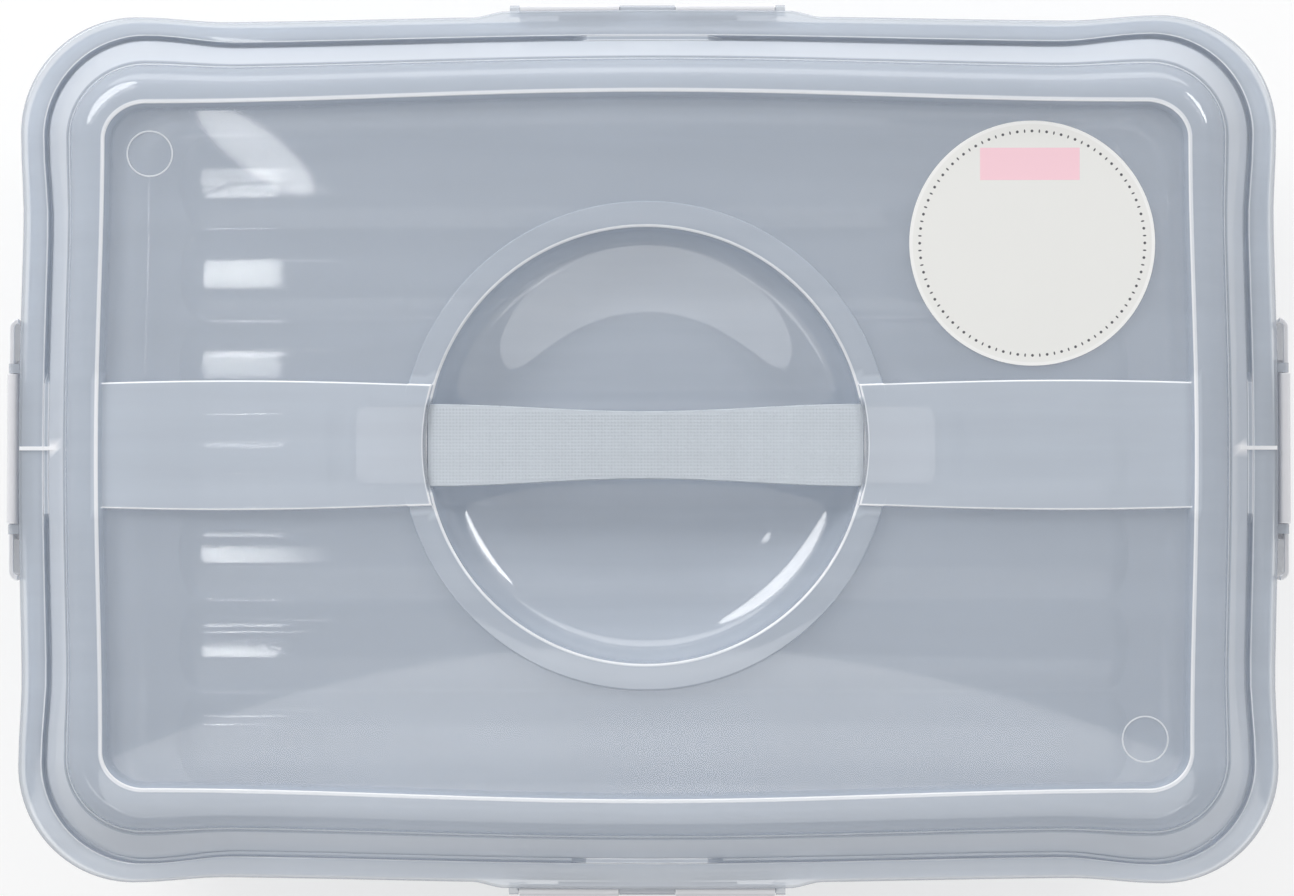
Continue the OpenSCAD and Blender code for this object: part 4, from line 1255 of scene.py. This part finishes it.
def printed_paper(scene, middle):
    """The label's paper: off-white with a paler border, a ring of fine marks that are round and long by
    turns, and a bare tinted field."""
    label, finish = scene.carrier_label, scene.carrier_finish
    nodes = Nodes("label_paper")

    place = nodes.add("ShaderNodeTexCoord").outputs["Object"]
    split = nodes.add("ShaderNodeSeparateXYZ", {"Vector": place})
    x = nodes.math("SUBTRACT", split.outputs["X"], middle[0])
    y = nodes.math("SUBTRACT", split.outputs["Y"], middle[1])
    squares = nodes.math("ADD", nodes.math("MULTIPLY", x, x), nodes.math("MULTIPLY", y, y))
    radius = nodes.math("SQRT", squares)
    turn = nodes.math("MULTIPLY", nodes.math("ARCTAN2", y, x), label.dot_count / (2 * math.pi))
    nearest = nodes.math("ROUND", turn)
    pitch = 2 * math.pi * label.dot_ring / label.dot_count
    along = nodes.math("MULTIPLY", nodes.math("SUBTRACT", turn, nearest), pitch)
    outwards = nodes.math("SUBTRACT", radius, label.dot_ring)
    pair = nodes.math("ROUND", nodes.math("MULTIPLY", nearest, 0.5))
    odd = nodes.math("ABSOLUTE", nodes.math("SUBTRACT", nearest, nodes.math("MULTIPLY", pair, 2.0)))
    wide = nodes.math("SUBTRACT", 0.46 * MM, nodes.math("MULTIPLY", odd, 0.2 * MM))
    tall = nodes.math("ADD", 0.46 * MM, nodes.math("MULTIPLY", odd, 0.12 * MM))
    across, up = nodes.math("DIVIDE", along, wide), nodes.math("DIVIDE", outwards, tall)
    reach = nodes.math("ADD", nodes.math("MULTIPLY", across, across), nodes.math("MULTIPLY", up, up))
    mark = nodes.map_range(reach, 0.7, 1.3, 1, 0)
    border = nodes.map_range(radius, label.border - 0.2 * MM, label.border + 0.2 * MM, 0, 1)
    off_x = nodes.math("ABSOLUTE", nodes.math("ADD", x, label.field_aside))
    off_y = nodes.math("ABSOLUTE", nodes.math("SUBTRACT", y, label.field_back))
    in_x = nodes.math("LESS_THAN", off_x, label.field_length / 2)
    in_y = nodes.math("LESS_THAN", off_y, label.field_width / 2)
    field = nodes.math("MULTIPLY", in_x, in_y)

    paper = nodes.blend_colours(nodes.noise(60), tinted(finish.label_colour, -0.02), finish.label_colour)
    paper = nodes.mix(border, paper, finish.label_border)
    paper = nodes.mix(field, paper, finish.label_field)
    paper = nodes.mix(mark, paper, finish.label_ink)
    return nodes.shade(paper, 0.45)


def give(piece, material):
    """Gives a piece its material."""
    piece.data.materials.clear()
    piece.data.materials.append(material)
    return piece


def place_piece(piece, body, nodes, material):
    """Puts a finished piece on its body, in place of its CAD nodes."""
    give(piece, material)
    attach(piece, body)
    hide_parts(*nodes)
    return piece


# Operators


class CARRIER_OT_tub(bpy.types.Operator):
    """Makes the tub"""

    bl_idname = "carrier.tub"
    bl_label = "Tub"

    def execute(self, context):
        scene, finish = context.scene, context.scene.carrier_finish
        shell = Shell()
        inner = tub_skin(scene, shell, under=False)
        outer = tub_skin(scene, shell, under=True)
        shell.grid(np.stack([inner, outer]))
        shell.quarters()
        piece = weighted(shell.made("carrier_tub"))
        # Painted highlight at the tub's edges and painted shade in its hollows, such as between the ribs.
        note_edges(piece)
        material = frosted_plastic(
            "tub_plastic", finish.tub_colour, finish.tub_cover,
            roughness=0.035, ior=1.7, edge_cover=0.1, relief=0,
        )
        place_piece(piece, "tub", ["tub"], material)
        return {"FINISHED"}


class CARRIER_OT_lid(bpy.types.Operator):
    """Makes the lid with its dish, bands, rods and ribs"""

    bl_idname = "carrier.lid"
    bl_label = "Lid"

    def execute(self, context):
        scene, finish = context.scene, context.scene.carrier_finish
        shell = Shell()
        top, under = LidSkin(scene, under=False), LidSkin(scene, under=True)
        shell.grid(np.stack([top.build(shell), under.build(shell)]))
        shell.quarters()
        piece = combined(shell.made("carrier_lid"), [pocket_cutter(scene)], "DIFFERENCE")
        small = [*mark_beads(scene), *hinge_rods(scene), *rim_ribs(scene)]
        piece = weighted(combined(piece, small, "UNION"))
        # Painted highlight and painted shade at the lid's edges and zones, and its milkiness.
        note_edges(piece, lid_painted_edges(scene, piece))
        material = frosted_plastic(
            "lid_plastic", finish.lid_colour, finish.lid_cover,
            roughness=0.03, ior=1.9, edge_cover=0.45, milk_cover=0.3, relief=0,
        )
        place_piece(piece, "lid", ["lid_shell"], material)
        return {"FINISHED"}


class CARRIER_OT_clips(bpy.types.Operator):
    """Makes the four side clips"""

    bl_idname = "carrier.clips"
    bl_label = "Side clips"

    def execute(self, context):
        scene, finish = context.scene, context.scene.carrier_finish
        material = frosted_plastic(
            "clip_plastic", finish.clip_colour, finish.clip_cover, roughness=0.15, ior=1.6
        )
        for side, name in enumerate(["clip_right", "clip_back", "clip_left", "clip_front"]):
            # Painted highlight at the clip's edges and painted shade in its hollows.
            piece = note_edges(weighted(clip_shape(scene, side)))
            piece.name = piece.data.name = "carrier_" + name
            place_piece(piece, name, [name], material)
        return {"FINISHED"}


class CARRIER_OT_strap(bpy.types.Operator):
    """Makes the carrying strap"""

    bl_idname = "carrier.strap"
    bl_label = "Strap"

    def execute(self, context):
        scene, finish, strap = context.scene, context.scene.carrier_finish, context.scene.carrier_strap
        p, grip = Places(scene), strap.grip_length / 2
        material = frosted_plastic(
            "strap_plastic", finish.strap_colour, finish.strap_cover, roughness=0.35
        )
        stretches = [
            ("strap_grip", -grip, grip),
            ("strap_flex_left", -p.reach, -grip),
            ("strap_flex_right", grip, p.reach),
        ]
        for name, start, end in stretches:
            shell = Shell()
            shell.bar(strap_length(scene, start, end))
            piece = give(shell.made("carrier_" + name, 60), material)
            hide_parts(name)
            if name == "strap_grip":
                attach(piece, "strap")
            else:
                side = 1 if end > 0 else -1
                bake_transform(piece)
        for name, side in [("left", -1), ("right", 1)]:
            piece = strap_tab(scene, side).made("carrier_strap_tab_" + name, 60)
            count = len(piece.data.vertices)
            # The whole tab gets the full painted highlight, so that it shows pale through the band.
            note_edges(piece, (np.ones(count), np.zeros(count)))
            place_piece(piece, "strap_end_" + name, ["strap_tab_" + name], material)
        return {"FINISHED"}


class CARRIER_OT_label(bpy.types.Operator):
    """Makes the round label"""

    bl_idname = "carrier.label"
    bl_label = "Label"

    def execute(self, context):
        scene = context.scene
        rim, label, p = scene.carrier_rim, scene.carrier_label, Places(scene)
        middle = (rim.rim_length / 2 - label.end_distance, rim.rim_width / 2 - label.side_distance)
        angle = np.radians(np.linspace(0, 360, 181)[:-1])[None, :]
        # Rings from a pinhole at the middle to the edge, which is broken by a twentieth of a millimetre.
        r = np.array([0.02, 10, 20, 30, 36, 39, label.radius / MM - 0.05, label.radius / MM])[:, None] * MM
        z = np.full_like(r, p.panel_z + label.thickness)
        z[-1] -= 0.05 * MM
        r, z = np.append(r, r[-1:], 0), np.append(z, [[p.panel_z + 0.01 * MM]], 0)
        shell = Shell()
        shell.bar(level(middle[0] + r * np.cos(angle), middle[1] + r * np.sin(angle), z[:, 0]))
        piece = shell.made("carrier_round_label")
        place_piece(piece, "lid", ["round_label"], printed_paper(scene, middle))
        return {"FINISHED"}


# Name, place, aimed at, turn in degrees, width and height, brightness, and spread. A spread in degrees
# narrows the beam of a lamp that lights the tub's ribs alone, so such a lamp needs little power. A spread
# of 0 marks a lamp that is seen in reflections alone.
LAMPS = [
    ("box_left", (-0.95, 0.95, 0.95), (0, 0, 0.09), 0, (1.1, 0.5), 8, None),
    ("box_right", (1.1, 0.8, 0.95), (0, 0, 0.09), 0, (0.66, 0.22), 12, None),
    ("back_wall", (0, 1.6, 0.55), (0, 0, 0.09), 0, (2.6, 0.6), 2.6, None),
    ("front_left", (-1.1, -0.9, 0.8), (0, 0, 0.09), 0, (1.0, 0.16), 2.4, None),
    ("front_right", (0.9, -1.1, 0.8), (0, 0, 0.09), 0, (0.7, 0.14), 2.0, None),
    ("scrim", (-0.04, -2.98, 1.5), (-0.04, -2.98, 0), 0, (3.4, 5.8), 1.7, 0),
    ("leaf", (-0.347, 0.311, 1.5), (-0.347, 0.311, 0), -37, (0.112, 0.033), 5.5, None),
    ("ribs_high", (-0.38, 0.23, 1.45), (-0.15, 0.066, 0), 0, (0.066, 0.24), 0.0681, 8),
    ("ribs_low", (-0.335, -0.015, 1.45), (-0.094, -0.042, 0), 0, (0.154, 0.03), 0.0182, 4),
    ("ribs_lowest", (-0.38, -0.0975, 1.45), (-0.145, -0.0785, 0), 0, (0.066, 0.03), 0.0182, 4),
]
WORLD_LIGHT = 0.52
VIEW_HEIGHT = 1.1
VIEW_OFFSET = (0.028, -0.055)
VIEW_SHIFT = (-0.04, 0.08)
LENS_PIXELS = 3074
PHOTO_WIDTH = 1294
SENSOR = 36


class CARRIER_OT_stage(bpy.types.Operator):
    """Makes the floor, the lights and the camera"""

    bl_idname = "carrier.stage"
    bl_label = "Stage"

    def execute(self, context):
        scene = context.scene
        scene.view_settings.view_transform = "Standard"
        self.floor(scene)
        self.world(scene)
        self.lamps(scene)
        self.camera(scene)
        return {"FINISHED"}

    def floor(self, scene):
        """A pale floor. Where the camera, glossy or clear surfaces look at it, it is half white beside the
        object, so that it keeps a shadow, and all white from half a metre away."""
        grid = Shell()
        x, y = np.meshgrid(np.linspace(-4, 4, 9), np.linspace(-4, 4, 9), indexing="ij")
        grid.grid(level(x, y, -0.0002))
        floor = grid.made("studio_floor")
        nodes, tone = Nodes("studio_floor"), scene.carrier_finish.floor_colour
        nodes.shade(nodes.blend_colours(nodes.noise(3), tinted(tone, -0.01), tone), 0.9)
        place = nodes.add("ShaderNodeTexCoord").outputs["Object"]
        away = nodes.add("ShaderNodeVectorMath", {0: place}, operation="LENGTH").outputs["Value"]
        path = nodes.add("ShaderNodeLightPath")
        seen = nodes.math("ADD", path.outputs["Is Camera Ray"], path.outputs["Is Glossy Ray"])
        seen = nodes.math("MINIMUM", nodes.math("ADD", seen, path.outputs["Is Transmission Ray"]), 1.0)
        share_white = nodes.math("MULTIPLY", nodes.map_range(away, 0.1, 0.5, 0.5, 1), seen)
        plastic = nodes.out.inputs["Surface"].links[0].from_socket
        white = nodes.add("ShaderNodeEmission", {"Color": (1, 1, 1, 1), "Strength": 1.0}).outputs[0]
        mixed = nodes.add("ShaderNodeMixShader", {0: share_white, 1: plastic, 2: white}).outputs[0]
        nodes.tree.links.new(mixed, nodes.out.inputs["Surface"])
        give(floor, nodes.material)

    def world(self, scene):
        """White where the camera, glossy or clear surfaces look past the object, and soft light
        elsewhere."""
        world = bpy.data.worlds.new("studio")
        world.use_nodes = True
        tree = world.node_tree
        path = tree.nodes.new("ShaderNodeLightPath")
        total = path.outputs["Is Camera Ray"]
        for name in ("Is Glossy Ray", "Is Transmission Ray"):
            joined = tree.nodes.new("ShaderNodeMath")
            tree.links.new(total, joined.inputs[0])
            tree.links.new(path.outputs[name], joined.inputs[1])
            total = joined.outputs[0]
        strength = tree.nodes.new("ShaderNodeMapRange")
        strength.inputs["To Min"].default_value = WORLD_LIGHT
        strength.inputs["To Max"].default_value = 1
        tree.links.new(total, strength.inputs["Value"])
        back = tree.nodes["Background"]
        back.inputs["Color"].default_value = (1, 1, 1, 1)
        tree.links.new(strength.outputs["Result"], back.inputs["Strength"])
        scene.world = world

    def lamps(self, scene):
        """The lamps of the table above. A lamp is set by its brightness, so its power follows from its
        size. It looks along the line to the place that it is aimed at, and its width lies level."""
        ribs = bpy.data.collections.new("lit_ribs")
        ribs.objects.link(scene.objects["carrier_tub"])
        for name, place, aim, turn, size, brightness, spread in LAMPS:
            light = bpy.data.lights.new(name, "AREA")
            light.shape, light.size, light.size_y = "ELLIPSE", size[0], size[1]
            light.energy = brightness * math.pi * math.pi / 4 * size[0] * size[1]
            seat = bpy.data.objects.new(name, light)
            seat.location = place
            back = (Vector(place) - Vector(aim)).normalized()
            across = Vector((0, 1, 0) if back.z > 0.85 else (0, 0, 1)).cross(back).normalized()
            aimed = Matrix((across, back.cross(across), back)).transposed().to_quaternion()
            seat.rotation_euler = (aimed @ Quaternion((0, 0, 1), math.radians(turn))).to_euler()
            if spread == 0:
                seat.visible_diffuse = False
            elif spread is not None:
                light.shape, light.spread = "RECTANGLE", math.radians(spread)
                seat.light_linking.receiver_collection = ribs
            scene.collection.objects.link(seat)

    def camera(self, scene):
        """The camera, above the object and a little aside. The shift makes up for a part of the offset, and
        a small turn for the rest."""
        camera = bpy.data.cameras.new("camera")
        camera.sensor_width = SENSOR
        camera.lens = SENSOR * LENS_PIXELS / PHOTO_WIDTH
        camera.shift_x, camera.shift_y = VIEW_SHIFT
        seat = bpy.data.objects.new("camera", camera)
        seat.location = (*VIEW_OFFSET, VIEW_HEIGHT)
        lens, distance = LENS_PIXELS / PHOTO_WIDTH, VIEW_HEIGHT - Places(scene).flange_z
        left, back = (math.atan(-a / distance - b / lens) for a, b in zip(VIEW_OFFSET, VIEW_SHIFT))
        seat.rotation_euler = (back, -left, 0)
        scene.collection.objects.link(seat)
        scene.camera = seat


class CARRIER_PT_panel(bpy.types.Panel):
    """The carrier's pieces and settings"""

    bl_idname = "CARRIER_PT_panel"
    bl_label = "Cake carrier"
    bl_space_type = "VIEW_3D"
    bl_region_type = "UI"
    bl_category = "Cake carrier"

    def draw(self, context):
        for operator in OPERATORS:
            self.layout.operator(operator.bl_idname)
        for name, group in GROUPS.items():
            box = self.layout.box()
            box.label(text=name.replace("_", " ").capitalize())
            for setting in group.__annotations__:
                box.prop(getattr(context.scene, name), setting)


OPERATORS = [
    CARRIER_OT_tub, CARRIER_OT_lid, CARRIER_OT_clips, CARRIER_OT_strap, CARRIER_OT_label, CARRIER_OT_stage,
]


def register():
    for kind in [*GROUPS.values(), *OPERATORS, CARRIER_PT_panel]:
        bpy.utils.register_class(kind)
    for name, group in GROUPS.items():
        setattr(bpy.types.Scene, name, bpy.props.PointerProperty(type=group))


def unregister():
    for name in GROUPS:
        delattr(bpy.types.Scene, name)
    for kind in [CARRIER_PT_panel, *reversed(OPERATORS), *reversed(list(GROUPS.values()))]:
        bpy.utils.unregister_class(kind)


def main():
    register()
    bpy.ops.carrier.tub()
    bpy.ops.carrier.lid()
    bpy.ops.carrier.clips()
    bpy.ops.carrier.strap()
    bpy.ops.carrier.label()
    bpy.ops.carrier.stage()


if __name__ == "__main__":
    main()
